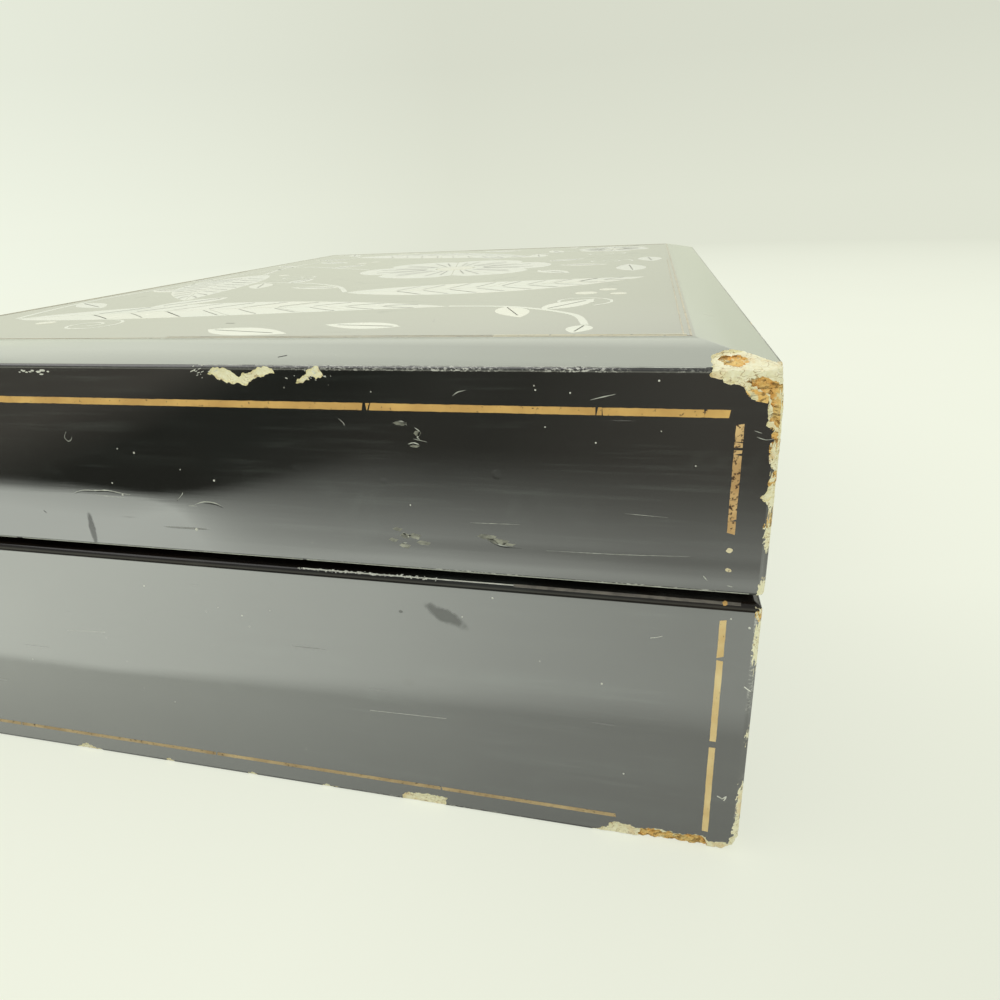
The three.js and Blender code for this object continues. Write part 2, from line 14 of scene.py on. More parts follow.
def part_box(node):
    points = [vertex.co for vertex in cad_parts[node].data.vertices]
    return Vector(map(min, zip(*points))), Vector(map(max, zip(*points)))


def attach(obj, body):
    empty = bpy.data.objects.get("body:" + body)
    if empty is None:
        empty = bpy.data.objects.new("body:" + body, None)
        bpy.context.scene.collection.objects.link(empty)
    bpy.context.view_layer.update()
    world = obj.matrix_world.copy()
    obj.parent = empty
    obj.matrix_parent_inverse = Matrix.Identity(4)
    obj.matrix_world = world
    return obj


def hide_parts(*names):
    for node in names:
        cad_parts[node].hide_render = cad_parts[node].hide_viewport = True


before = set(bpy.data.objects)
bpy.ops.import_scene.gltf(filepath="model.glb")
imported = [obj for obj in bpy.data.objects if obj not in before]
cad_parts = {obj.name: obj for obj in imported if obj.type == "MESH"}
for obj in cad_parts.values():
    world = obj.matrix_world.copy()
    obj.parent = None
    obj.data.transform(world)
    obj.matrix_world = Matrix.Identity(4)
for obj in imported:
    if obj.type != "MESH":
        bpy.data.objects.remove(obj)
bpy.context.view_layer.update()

MM = 0.001
HALF_X, HALF_Y = 143.0, 101.5
scene = bpy.context.scene
noise.seed_set(11)


# ---------------------------------------------------------------- camera
CAMERA_PLACE = (-253.8, -81.4, 116.5)
CAMERA_RIGHT = (0.2433, -0.9688, -0.0470)
CAMERA_UP = (0.3392, 0.0396, 0.9399)

right, up = Vector(CAMERA_RIGHT).normalized(), Vector(CAMERA_UP).normalized()
back = right.cross(up)
up = back.cross(right)
camera_data = bpy.data.cameras.new("camera")
camera_data.sensor_width = 36
camera_data.lens = 25.92
camera_data.shift_x = 0.0391
camera_data.shift_y = -0.0335
camera_data.clip_start = 0.01
camera = bpy.data.objects.new("camera", camera_data)
camera.matrix_world = Matrix.Translation(Vector(CAMERA_PLACE) * MM) @ Matrix((right, up, back)).transposed().to_4x4()
scene.collection.objects.link(camera)
scene.camera = camera
scene.view_settings.view_transform = "Standard"


# ---------------------------------------------------------------- materials
class Value:
    """What a node gives out. Arithmetic on it makes Math nodes."""

    def __init__(self, paint, socket):
        self.paint, self.socket = paint, socket

    def __add__(self, other):
        return self.paint.math("ADD", self, other)

    def __sub__(self, other):
        return self.paint.math("SUBTRACT", self, other)

    def __rsub__(self, other):
        return self.paint.math("SUBTRACT", other, self)

    def __mul__(self, other):
        return self.paint.math("MULTIPLY", self, other)

    def span(self, low, high, to_low=0.0, to_high=1.0, kind="LINEAR"):
        """The value from low..high to to_low..to_high, held at the ends"""
        settings = {"clamp": True, "interpolation_type": kind}
        return self.paint.add("MapRange", 0, settings, _0=self, _1=low, _2=high, _3=to_low, _4=to_high)


class Paint:
    """A node material. Sockets that are the same all over are set on the shader itself."""

    def __init__(self, name, world=None, **sockets):
        self.material = world or bpy.data.materials.new(name)
        self.material.use_nodes = True
        self.tree = self.material.node_tree
        self.shader = self.tree.nodes["Background" if world else "Principled BSDF"]
        for key, value in sockets.items():
            self.put(key, value)
        self.place = self.add("TexCoord", "Generated" if world else "Object")

    def add(self, kind, out=0, settings=None, **inputs):
        """A new node's output. An input is named, with _ for a space, or numbered after _."""
        node = self.tree.nodes.new("ShaderNode" + kind)
        for key, value in (settings or {}).items():
            setattr(node, key, value)
        for key, value in inputs.items():
            self.put(key, value, node)
        return Value(self, node.outputs[out])

    def put(self, key, value, node=None):
        inputs = (node or self.shader).inputs
        socket = inputs[int(key[1:]) if key[0] == "_" else key.replace("_", " ")]
        if isinstance(value, Value):
            self.tree.links.new(value.socket, socket)
        else:
            socket.default_value = value

    def scaled(self, scale, turn=(0, 0, 0), shift=(0, 0, 0)):
        return self.add("Mapping", Vector=self.place, Location=shift, Rotation=turn, Scale=scale)

    def noise(self, scale, detail=3, rough=0.5, twist=0.0, vector=None):
        settings = {"Scale": scale, "Detail": detail, "Roughness": rough, "Distortion": twist}
        return self.add("TexNoise", "Fac", Vector=vector or self.place, **settings)

    def grain(self, scale, detail=3, rough=0.5, twist=0.0, **mapping):
        """Noise with a scale for each axis"""
        return self.noise(1, detail, rough, twist, self.scaled(scale, **mapping))

    def cells(self, scale, vector=None):
        return self.add("TexVoronoi", "Distance", Vector=vector or self.place, Scale=scale)

    def bands(self, direction, scale, distortion, **inputs):
        settings = {"wave_type": "BANDS", "bands_direction": direction}
        inputs = {"Vector": self.place, "Scale": scale, "Distortion": distortion, **inputs}
        return self.add("TexWave", "Fac", settings, **inputs)

    def math(self, kind, *values):
        return self.add("Math", 0, {"operation": kind}, **{"_%d" % i: value for i, value in enumerate(values)})

    def larger(self, a, b):
        return self.math("MAXIMUM", a, b)

    def mix(self, share, a, b):
        """From colour a to colour b"""
        a, b = (value if isinstance(value, Value) else (*value, 1) for value in (a, b))
        return self.add("Mix", 2, {"data_type": "RGBA"}, _0=share, _6=a, _7=b)

    def axis(self, index):
        return self.add("SeparateXYZ", index, _0=self.place)

    def bump(self, height, depth, normal=None):
        """depth is the height in metres of a height of 1"""
        under = {"Normal": normal} if normal else {}
        return self.add("Bump", Height=height, Distance=depth, Strength=1.0, **under)

    def finish(self, colour, roughness=None, normal=None):
        for key, value in (("Base_Color", colour), ("Roughness", roughness), ("Normal", normal)):
            if value is not None:
                self.put(key, value)
        return self.material


def lacquer(name, dark, haze, rough, worn=0.0, lip=0.0, haze_and_painted_reflection=None, rubbed_by=0.16, smears=(), **sockets):
    """Old black lacquer under wax: rubbed along the boards, hazy in places, with dust, pits and fine scratches.
    worn is how white the rubbed edges are, lip the height in metres of the swelling over the lid's lower edge,
    haze_and_painted_reflection a milky haze that is partly a painted reflection of the bright floor, strongest
    towards the rear of the left end, rubbed_by how much the smudges show, smears the dull soft-edged places on the
    left end as (y, z, half length, half width, turn)"""
    p = Paint(name, **sockets)
    clouds = p.noise(24, 4, 0.55)
    streaks = p.grain((38, 38, 1000), 4, 0.6)
    long_streaks = p.grain((5, 5, 260), 3, 0.6, shift=(3, 1, 7))
    top_streaks = p.grain((14, 700, 14), 4, 0.6)
    rub = streaks * 0.5 + long_streaks * 0.5
    hazy = clouds.span(0.42, 0.72)
    dust = p.cells(260).span(0.03, 0.045, 1.0, 0.0) * p.noise(40, 1).span(0.52, 0.6)
    scratched = p.larger(
        p.grain((20, 30, 900), 2, turn=(0.25, 0.1, 0.4)).span(0.74, 0.79),
        p.grain((700, 40, 60), 2, turn=(0.9, 0.3, 0.2), shift=(2, 5, 1)).span(0.75, 0.8),
    )
    streaky = streaks.span(0.54, 0.72) * p.noise(30, 3, 0.6).span(0.40, 0.62)
    smudged = p.noise(88, 3, 0.6, 0.4).span(0.60, 0.74) * p.noise(22, 2).span(0.44, 0.58)
    rubbed = long_streaks.span(0.5, 0.7) * clouds.span(0.5, 0.36)

    colour = p.mix(hazy * 0.8, dark, haze)
    colour = p.mix(p.larger(smudged, rubbed) * rubbed_by, colour, (0.14, 0.17, 0.16))
    colour = p.mix(streaky * (1.5 * rubbed_by), colour, (0.12, 0.14, 0.13))
    # a milky haze on the left end, strongest towards the rear: partly a painted reflection of the bright floor
    if haze_and_painted_reflection:
        where = p.axis(1).span(-0.06, 0.09, 0.12, 1.0) * p.axis(0).span(-0.143, -0.10, 1.0, 0.0)
        colour = p.mix(where * p.noise(13, 3, 0.55).span(0.2, 0.6, 0.6, 1.0), colour, haze_and_painted_reflection)
    colour = p.mix(scratched * 0.35, colour, (0.16, 0.15, 0.13))
    colour = p.mix(dust * 0.7, colour, (0.62, 0.61, 0.54))
    if worn:
        patches = p.noise(34, 3, 0.6).span(0.42, 0.58) * p.axis(1).span(-0.045, -0.015, 1.0, 0.08)
        stipple = p.grain((2200, 1500, 3200), 3, 0.65).span(0.50, 0.60)
        colour = p.mix(patches * stipple * worn, colour, (0.74, 0.74, 0.68))
        bare = p.noise(420, 4, 0.65).span(0.66, 0.69) * p.noise(60, 2).span(0.5, 0.56)
        colour = p.mix(bare, colour, (0.62, 0.52, 0.30))

    dull = 0.0
    for y, z, long, wide, turn in smears:
        place = p.add(
            "Mapping", 0, {"vector_type": "TEXTURE"}, Vector=p.place, Location=(-HALF_X * MM, y * MM, z * MM),
            Rotation=(radians(turn), 0, 0), Scale=(0.02, long * MM, wide * MM),
        )
        off = p.add("VectorMath", "Value", {"operation": "LENGTH"}, _0=place) + p.noise(420, 3, 0.6) * 0.9
        dull = p.larger(dull, off.span(1.0, 1.5, 1.0, 0.0, "SMOOTHSTEP"))
    if smears:
        smudged = p.larger(smudged, dull * 3.0)
        p.put("Specular_IOR_Level", dull.span(0.0, 1.0, 0.5, 0.26))
    roughness = (hazy * 0.5 + rub * 0.5).span(0.15, 0.8, *rough)
    roughness = p.larger(roughness, scratched * 0.5) + smudged * 0.1

    normal = p.bump(p.noise(38, 1, 0.4), 0.00006)
    normal = p.bump(rub + top_streaks * 0.4, 0.000004, normal)
    pits = p.cells(110, p.scaled((1, 1, 1), shift=(4, 2, 9))).span(0.03, 0.1)
    pits = p.larger(pits, p.noise(45, 1).span(0.4, 0.45))
    normal = p.bump(pits + scratched * -0.5, 0.000012, normal)
    if lip:
        low, middle, high = 0.0552, 0.0582, 0.0620
        swell = p.axis(2).span(low, middle, 0, 1, "SMOOTHERSTEP") * p.axis(2).span(middle, high, 1, 0, "SMOOTHERSTEP")
        swell *= p.grain((30, 26, 90), 2).span(0.3, 0.6, 0.5, 1.0)
        normal = p.bump(swell * p.axis(1).span(0.0, -0.06), lip, normal)
    return p.finish(colour, roughness, normal)


def gesso():
    """The cream ground coat, broken off in layers"""
    p = Paint("gesso", Roughness=0.85)
    grain = p.noise(1500, 4, 0.65)
    colour = p.mix(grain.span(0.35, 0.7), (1.0, 0.97, 0.74), (0.92, 0.85, 0.57))
    colour = p.mix(p.noise(300, 3, 0.6).span(0.54, 0.68) * 0.45, colour, (0.80, 0.52, 0.22))
    layer = p.noise(260, 3, 0.6, vector=p.scaled((1, 0.7, 1.5)))
    for level in (0.40, 0.47, 0.55):
        line = p.math("ABSOLUTE", layer - level).span(0.0, 0.010, 1.0, 0.0) * p.noise(500, 2).span(0.42, 0.56)
        colour = p.mix(line * 0.85, colour, (0.34, 0.19, 0.07))
    return p.finish(colour, None, p.bump(layer + grain * 0.25, 0.0006))


def splintered_wood():
    """Bare torn wood: orange crumbs and short ragged fibres with dark gaps"""
    p = Paint("splintered_wood", Roughness=0.8)
    gaps = p.grain((760, 420, 980), 4, 0.7, 1.1).span(0.36, 0.47, 1.0, 0.0)
    fibres = p.grain((1500, 330, 2100), 4, 0.65, 0.5)
    colour = p.mix(p.noise(520, 3, 0.6).span(0.38, 0.62), (1.0, 0.72, 0.28), (0.97, 0.56, 0.16))
    colour = p.mix(gaps * 0.6, colour, (0.60, 0.29, 0.08))
    colour = p.mix(fibres.span(0.58, 0.66, 0.0, 0.45), colour, (0.58, 0.28, 0.08))
    colour = p.mix(p.noise(430, 3, 0.6).span(0.55, 0.62), colour, (0.97, 0.88, 0.56))
    return p.finish(colour, None, p.bump(fibres - gaps, 0.0005))


def gold_paint(name, bright, brown, wear, **sockets):
    p = Paint(name, Roughness=0.5, **sockets)
    colour = p.mix(p.noise(160, 3, 0.6).span(0.35, 0.7), brown, bright)
    colour = p.mix(p.noise(1300, 3, 0.7).span(wear, wear + 0.06), colour, (0.09, 0.045, 0.02))
    return p.finish(colour, None, p.bump(p.noise(1100, 3), 0.00002))


def scuff(name, light, dark, roughness, **sockets):
    """Rubbed, scratched or flaked lacquer"""
    p = Paint(name, **sockets)
    grain = p.grain((900, 500, 900), 3, 0.6)
    colour = p.mix(grain.span(0.35, 0.65), light, dark)
    return p.finish(colour, grain.span(0.3, 0.7, roughness * 0.8, roughness * 1.2), p.bump(grain, 0.00002))


def pearl():
    """Mother-of-pearl: chalky off-white, cloudy, with growth lines and a faint change of hue"""
    coat = {"Coat_Weight": 1.0, "Coat_IOR": 1.75, "Coat_Roughness": 0.12}
    p = Paint("pearl", Metallic=0.75, IOR=1.6, Sheen_Weight=0.7, Sheen_Roughness=0.3, **coat)
    tone = p.add("Attribute", "Fac", {"attribute_name": "tone"})
    growth = p.grain((120, 420, 100), 4, 0.6, turn=(0, 0, 0.5))
    colour = p.mix(p.noise(110, 3, 0.55).span(0.35, 0.68), (0.97, 0.98, 0.86), (0.84, 0.89, 0.76))
    colour = p.mix(growth.span(0.5, 0.62, 0.0, 0.4), colour, (0.95, 0.88, 0.80))
    colour = p.mix(p.noise(60, 2).span(0.5, 0.7, 0.0, 0.3), colour, (0.68, 0.86, 0.76))
    colour = p.mix(tone.span(0.8, 1.0), colour, (0.84, 0.78, 0.42))
    colour = p.mix(tone.span(0.0, 0.4, 0.25, 0.0), colour, (0.62, 0.68, 0.60))
    colour = p.mix(tone.span(0.5, 0.7, 0.0, 0.35), colour, (0.98, 0.93, 0.68))
    return p.finish(colour, growth.span(0.3, 0.7, 0.12, 0.28), p.bump(growth, 0.00002))


def engraving():
    p = Paint("engraving", Roughness=0.7)
    colour = p.mix(p.noise(500, 3).span(0.4, 0.7), (0.02, 0.018, 0.015), (0.12, 0.10, 0.07))
    return p.finish(colour, None, p.bump(p.noise(1500, 2), 0.00002))


def velvet():
    p = Paint("velvet", Roughness=0.95, Sheen_Weight=0.6, Sheen_Roughness=0.35, Sheen_Tint=(0.9, 0.25, 0.28, 1))
    nap = p.noise(38, 2, 0.5, 0.5)
    pile = p.noise(2600, 2)
    colour = p.mix(nap.span(0.3, 0.72), (0.115, 0.008, 0.016), (0.20, 0.017, 0.031))
    colour = p.mix(pile.span(0.4, 0.7, 0.0, 0.5), colour, (0.30, 0.05, 0.06))
    return p.finish(colour, None, p.bump(pile, 0.00012, p.bump(nap, 0.0003)))


def ribbon():
    p = Paint("ribbon", Sheen_Weight=0.2)
    weave, cross = p.bands("Z", 700, 0.6), p.bands("X", 500, 0.4)
    colour = p.mix(weave.span(0.2, 0.8), (0.13, 0.008, 0.014), (0.26, 0.02, 0.035))
    return p.finish(colour, cross.span(0, 1, 0.32, 0.5), p.bump(weave + cross, 0.00004))


def felt():
    p = Paint("felt", Roughness=1.0, Sheen_Weight=0.3, Sheen_Roughness=0.6)
    fibres = p.noise(1600, 4, 0.7, 1.2)
    colour = p.mix(fibres.span(0.35, 0.65), (0.006, 0.016, 0.010), (0.022, 0.055, 0.033))
    return p.finish(colour, None, p.bump(fibres, 0.0002))


def bare_wood():
    p = Paint("bare_wood", Roughness=0.6)
    rings = p.bands("Y", 3, 5, Vector=p.scaled((6, 60, 60)), Detail=3)
    fibres = p.grain((40, 1300, 1300), 4, 0.6)
    colour = p.mix(rings, (0.50, 0.29, 0.13), (0.34, 0.17, 0.065))
    colour = p.mix(fibres.span(0.45, 0.7, 0.0, 0.5), colour, (0.24, 0.11, 0.04))
    return p.finish(colour, fibres.span(0.3, 0.7, 0.5, 0.72), p.bump(fibres, 0.00005))


def brass():
    p = Paint("brass", Metallic=1.0)
    clouds = p.noise(160, 4, 0.6)
    brushed = p.grain((60, 2600, 2600), 3, 0.6)
    colour = p.mix(clouds.span(0.4, 0.68), (0.70, 0.47, 0.17), (0.32, 0.19, 0.07))
    colour = p.mix(p.noise(900, 3).span(0.6, 0.7), colour, (0.12, 0.07, 0.03))
    return p.finish(colour, (clouds + brushed).span(0.6, 1.4, 0.24, 0.5), p.bump(brushed, 0.00001))


def silvered_glass():
    p = Paint("silvered_glass", Metallic=1.0)
    smears = p.noise(45, 4, 0.65, 0.8)
    colour = p.mix(p.noise(260, 4, 0.7).span(0.70, 0.76), (0.84, 0.86, 0.86), (0.36, 0.31, 0.22))
    return p.finish(colour, smears.span(0.45, 0.75, 0.015, 0.09), p.bump(smears, 0.0000004))


WAX = {"Coat_Weight": 1.0, "Coat_IOR": 1.5, "Coat_Roughness": 0.015}
TOP_WAX = {
    "IOR": 2.1, "Coat_Weight": 0.65, "Coat_IOR": 1.9, "Coat_Roughness": 0.05,
    "Sheen_Weight": 0.22, "Sheen_Roughness": 0.3, "Sheen_Tint": (0.92, 0.96, 0.82, 1),
}
# the bevels' wax: more reflective than the top's and with a greener coat tint, as painted light on the slopes
SLOPE_WAX = {
    **TOP_WAX, "IOR": 2.55, "Coat_Weight": 1.0, "Coat_Tint": (0.92, 1.0, 0.94, 1), "Coat_IOR": 2.3,
    "Coat_Roughness": 0.08, "Sheen_Weight": 0.4,
}
LACQUER = lacquer(
    "lacquer", (0.005, 0.005, 0.005), (0.009, 0.012, 0.012), (0.015, 0.07), lip=0.00006, rubbed_by=0.18,
    smears=[(26.8, 58.4, 0.9, 4.0, 0)], IOR=4.0, **WAX,
)
# the base's left end gets a milky haze that is partly a painted reflection of the bright floor
LACQUER_BASE = lacquer(
    "lacquer_base", (0.014, 0.016, 0.015), (0.040, 0.048, 0.046), (0.03, 0.1), haze_and_painted_reflection=(0.20, 0.202, 0.182),
    rubbed_by=0.3, smears=[(-47.2, 45.6, 4.8, 1.7, 27), (-38.5, 45.7, 0.5, 0.4, 0)], IOR=3.8, **WAX,
)
LACQUER_EDGE = lacquer("lacquer_edge", (0.014, 0.012, 0.010), (0.03, 0.03, 0.026), (0.1, 0.25), 0.85, IOR=2.2)
# the round upright corners: lacquer painted lighter than the faces, a painted reflection in place of the dark one the
# rounds would show, with whitish worn stipple
LACQUER_CORNER = lacquer("lacquer_corner", (0.055, 0.057, 0.053), (0.11, 0.115, 0.105), (0.08, 0.2), 0.8, IOR=3.9)
LACQUER_RIM = lacquer("lacquer_rim", (0.008, 0.006, 0.005), (0.02, 0.014, 0.010), (0.08, 0.2), IOR=1.6)
LACQUER_TOP = lacquer("lacquer_top", (0.010, 0.011, 0.010), (0.030, 0.034, 0.029), (0.05, 0.14), **TOP_WAX)
# the sloped bevels: the top's lacquer painted lighter, a lit copy for the faces that catch the bright room
LACQUER_SLOPED = lacquer("lacquer_sloped", (0.030, 0.032, 0.029), (0.065, 0.072, 0.064), (0.06, 0.16), **SLOPE_WAX)
LACQUER_INSIDE = lacquer("lacquer_inside", (0.010, 0.008, 0.007), (0.02, 0.018, 0.016), (0.35, 0.6), IOR=1.5)
# pale lines for scratches, and for the painted highlights along the lid's rounded edges
SCRATCH_AND_HIGHLIGHT_LINE = scuff("worn_line", (0.66, 0.68, 0.62), (0.40, 0.41, 0.37), 0.45)
SPECK = scuff("speck", (0.86, 0.87, 0.80), (0.62, 0.62, 0.56), 0.6)
# flaked lacquer: its light grey is partly a painted glint where the lifted flakes catch the light
FLAKE = scuff("flake", (0.40, 0.40, 0.32), (0.11, 0.11, 0.09), 0.3, IOR=2.2)
WORN_DULL = scuff("worn_dull", (0.22, 0.20, 0.17), (0.10, 0.09, 0.08), 0.3)
SCRATCH_DARK = scuff("scratch_dark", (0.010, 0.010, 0.009), (0.03, 0.03, 0.028), 0.5, IOR=1.4)
GESSO, SPLINTERS, PEARL, ENGRAVING = gesso(), splintered_wood(), pearl(), engraving()
GOLD = gold_paint("gold_paint", (0.82, 0.51, 0.16), (0.64, 0.37, 0.11), 0.63)
GOLD_WORN = gold_paint("gold_paint_worn", (0.84, 0.58, 0.27), (0.52, 0.30, 0.12), 0.54)
GOLD_PALE = gold_paint("gold_paint_pale", (0.92, 0.74, 0.40), (0.76, 0.54, 0.24), 0.66)
GOLD_DULL = gold_paint("gold_paint_dull", (0.66, 0.50, 0.27), (0.44, 0.31, 0.16), 0.60)
GOLD_CREAM = gold_paint("gold_paint_cream", (0.93, 0.83, 0.55), (0.78, 0.66, 0.38), 0.62, **TOP_WAX)
GOLD_FAINT = gold_paint("gold_paint_faint", (0.62, 0.50, 0.28), (0.36, 0.28, 0.15), 0.57, **TOP_WAX)
VELVET, RIBBON, FELT, BARE_WOOD, BRASS, GLASS = velvet(), ribbon(), felt(), bare_wood(), brass(), silvered_glass()


# ---------------------------------------------------------------- making pieces
def piece(name, points, faces, materials, body=None, face_materials=None, smooth=None):
    """A mesh piece from points in millimetres, riding on a body"""
    mesh = bpy.data.meshes.new(name)
    mesh.from_pydata([(x * MM, y * MM, z * MM) for x, y, z in points], [], faces)
    for material in materials:
        mesh.materials.append(material)
    if face_materials:
        mesh.polygons.foreach_set("material_index", face_materials)
    obj = bpy.data.objects.new(name, mesh)
    scene.collection.objects.link(obj)
    work = bmesh.new()
    work.from_mesh(mesh)
    bmesh.ops.recalc_face_normals(work, faces=work.faces)
    work.to_mesh(mesh)
    work.free()
    if smooth is not None:
        soften(obj, smooth)
    if body:
        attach(obj, body)
    return obj


def soften(obj, degrees_sharp):
    obj.data.shade_smooth()
    obj.data.set_sharp_from_angle(angle=radians(degrees_sharp))


def cut(obj, cutters):
    """Takes closed cutters out of an object. The cut faces get the cutter's material."""
    for cutter in cutters:
        change = obj.modifiers.new("cut", "BOOLEAN")
        change.operation = "DIFFERENCE"
        change.solver = "MANIFOLD"
        change.material_mode = "TRANSFER"
        change.object = cutter
        graph = bpy.context.evaluated_depsgraph_get()
        mesh = bpy.data.meshes.new_from_object(obj.evaluated_get(graph), depsgraph=graph)
        old = obj.data
        obj.modifiers.clear()
        obj.data = mesh
        bpy.data.meshes.remove(old)
        bpy.data.objects.remove(cutter)


def trim(obj, sliver=0.000001):
    """Clears the slivers that the cuts leave"""
    work = bmesh.new()
    work.from_mesh(obj.data)
    bmesh.ops.remove_doubles(work, verts=work.verts, dist=sliver)
    bmesh.ops.dissolve_degenerate(work, edges=work.edges, dist=sliver)
    bmesh.ops.delete(work, geom=[edge for edge in work.edges if edge.is_wire], context="EDGES")
    work.to_mesh(obj.data)
    work.free()


def groups(size, *numbers):
    """The numbers as a list of tuples"""
    return list(zip(*(numbers[i::size] for i in range(size))))


def wave(*place):
    return noise.noise(Vector(place))


def split(a, b, parts):
    """The points from a to b, without b, in about that many parts"""
    count = max(1, round(parts))
    return [tuple(p + (q - p) * k / count for p, q in zip(a, b)) for k in range(count)]


def turned(x, y, along, across, angle):
    """The point along and across from (x, y), at an angle in radians"""
    return x + along * cos(angle) - across * sin(angle), y + along * sin(angle) + across * cos(angle)


def circle(x, y, radius, sides):
    return [(x + radius * cos(2 * pi * k / sides), y + radius * sin(2 * pi * k / sides)) for k in range(sides)]


def walls(count, low, high):
    """Faces between two rings of points that start at two places in a list"""
    return [(low + k, low + (k + 1) % count, high + (k + 1) % count, high + k) for k in range(count)]


def ring(half_x, half_y, radius, z, steps=5):
    """A level outline with round corners, anticlockwise from +X"""
    points = []
    for quarter, (sx, sy) in enumerate(((1, 1), (-1, 1), (-1, -1), (1, -1))):
        for step in range(steps + 1):
            angle = radians(90 * quarter + 90 * step / steps)
            x, y = sx * (half_x - radius) + radius * cos(angle), sy * (half_y - radius) + radius * sin(angle)
            points.append((x, y, z))
    return points


def arc(centre_inset, centre_z, radius, start, end, steps):
    """Profile points (inset, z) round a centre, angles in degrees from straight in, towards +z"""
    angles = [radians(start + (end - start) * s / steps) for s in range(steps + 1)]
    return [(centre_inset - radius * cos(a), centre_z + radius * sin(a)) for a in angles]


# ---------------------------------------------------------------- the lacquered bodies
FILM = 0.05
BASE_TOP, LID_UNDER, LID_RIM, LID_TOP = 53.2, 54.8, 92.3, 95.0
BEVEL = 12.5
OUT_X, OUT_Y = HALF_X - FILM, HALF_Y - FILM
SKIN_TOP = LID_TOP - FILM
CORNER_ROUND = 1.2
PLAIN, EDGE, RIM, INSIDE, TOP, SLOPED, CORNER = range(7)
SKIN_MATERIALS = [
    LACQUER_EDGE, LACQUER_RIM, LACQUER_INSIDE, LACQUER_TOP, LACQUER_SLOPED, LACQUER_CORNER, GESSO, SPLINTERS,
]


def skin(name, profile, kinds, closed, plain, caps=()):
    """A body's lacquer, from its profile (inset, z). kinds has the material of each step of the profile, closed
    joins its ends, and caps closes the named levels. Plain faces on the round upright corners get CORNER."""
    rings = [ring(OUT_X - inset, OUT_Y - inset, max(CORNER_ROUND - inset, 0.2), z) for inset, z in profile]
    count = len(rings[0])
    per_corner = count // 4
    faces, face_kinds = [], []
    for i in range(len(rings) if closed else len(rings) - 1):
        faces += walls(count, i * count, (i + 1) % len(rings) * count)
        for k in range(count):
            corner = kinds[i] == PLAIN and k % per_corner != per_corner - 1
            face_kinds.append(CORNER if corner else kinds[i])
    for index, kind in caps:
        faces.append(tuple(range(index * count, (index + 1) * count)))
        face_kinds.append(kind)
    return piece(name, [p for r in rings for p in r], faces, [plain] + SKIN_MATERIALS, face_materials=face_kinds)


def prism(section, from_x, to_x, material):
    """A bar along X from a section of (y, z) points"""
    n = len(section)
    points = [(x, y, z) for x in (from_x, to_x) for y, z in section]
    return piece("cutter", points, [tuple(range(n)), tuple(range(n, 2 * n))] + walls(n, 0, n), [material])


# Frames of the box's faces: a point is origin + u * along + v * rise, and out points away from the box
SLOPE = (LID_TOP - LID_RIM) / BEVEL
LEAN = atan(SLOPE)
ALONG_X, ALONG_Y, UP = (1, 0, 0), (0, 1, 0), (0, 0, 1)
FACES = {
    "left": ((-OUT_X, 0, 0), ALONG_Y, UP, (-1, 0, 0)),
    "right": ((OUT_X, 0, 0), ALONG_Y, UP, ALONG_X),
    "front": ((0, -OUT_Y, 0), ALONG_X, UP, (0, -1, 0)),
    "rear": ((0, OUT_Y, 0), ALONG_X, UP, ALONG_Y),
    "top": ((0, 0, SKIN_TOP), ALONG_X, ALONG_Y, UP),
    # on the left bevel u is Y and v is the distance in from the end
    "left_bevel": ((-OUT_X, 0, LID_RIM - FILM), ALONG_Y, (1, 0, SLOPE), (-sin(LEAN), 0, cos(LEAN))),
}


def edge_frame(radius, centre_z, angle):
    """The frame of a rounded edge along the left end, at an angle from level in degrees"""
    a = radians(angle)
    origin = (-OUT_X + radius * (1 - cos(a)), 0, centre_z + radius * sin(a))
    return origin, ALONG_Y, (sin(a), 0, cos(a)), (-cos(a), 0, sin(a))


def on_face(face, u, v, out=0.0):
    origin, along, rise, away = FACES[face]
    return tuple(origin[i] + along[i] * u + rise[i] * v + away[i] * out for i in range(3))


def ragged(outline, step, depth, seed):
    """The outline in short steps, each moved a little by noise"""
    points = []
    for a, b in zip(outline, outline[1:] + outline[:1]):
        for u, v in split(a, b, dist(a, b) / step):
            shake = noise.noise_vector(Vector((u * 1.9 + seed * 7.1, v * 1.9, seed * 3.3)))
            fine = noise.noise_vector(Vector((u * 5.3, v * 5.3 + seed * 5.7, seed)))
            points.append((u + depth * (shake.x + 0.5 * fine.x), v + depth * (shake.y + 0.5 * fine.y)))
    return points


def chip(face, outline, material, depth, seed):
    """A closed cutter for a flaked place: a ragged outline with steep sides and a rough floor under the surface"""
    grid, rough, above = 0.4, 0.5, 1.5
    edge = ragged(outline, 0.3, 0.5 if material is SPLINTERS else 0.36, seed)
    us, vs = [u for u, v in edge], [v for u, v in edge]
    inner = []
    u = min(us)
    while u < max(us):
        v = min(vs)
        while v < max(vs):
            jitter = noise.noise_vector(Vector((u * 9.1, v * 9.1, seed + 0.5)))
            inner.append((u + grid * 0.3 * jitter.x, v + grid * 0.3 * jitter.y))
            v += grid
        u += grid
    count = len(edge)
    border = [(k, (k + 1) % count) for k in range(count)]
    flat = [Vector(p) for p in edge + inner]
    found, _, triangles, *_ = geometry.delaunay_2d_cdt(flat, border, [tuple(range(count))], 1, 0.0001)
    floor, roof = [], []
    for point in found:
        u, v = point.x, point.y
        lump = noise.fractal(Vector((u * 0.9, v * 1.6, seed * 2.7)), 0.6, 2.1, 4)
        floor.append(on_face(face, u, v, -depth * max(0.35, 1 + rough * lump)))
        roof.append(on_face(face, u, v, above))
    n = len(found)
    faces = [tuple(t) for t in triangles] + [tuple(n + i for i in reversed(t)) for t in triangles]
    uses = {}
    for triangle in triangles:
        for k in range(3):
            a, b = triangle[k], triangle[(k + 1) % 3]
            uses.setdefault(frozenset((a, b)), []).append((a, b))
    for (a, b), *more in uses.values():
        if not more:
            faces.append((b, a, n + a, n + b))
    return piece("chip", floor + roof, faces, [material])


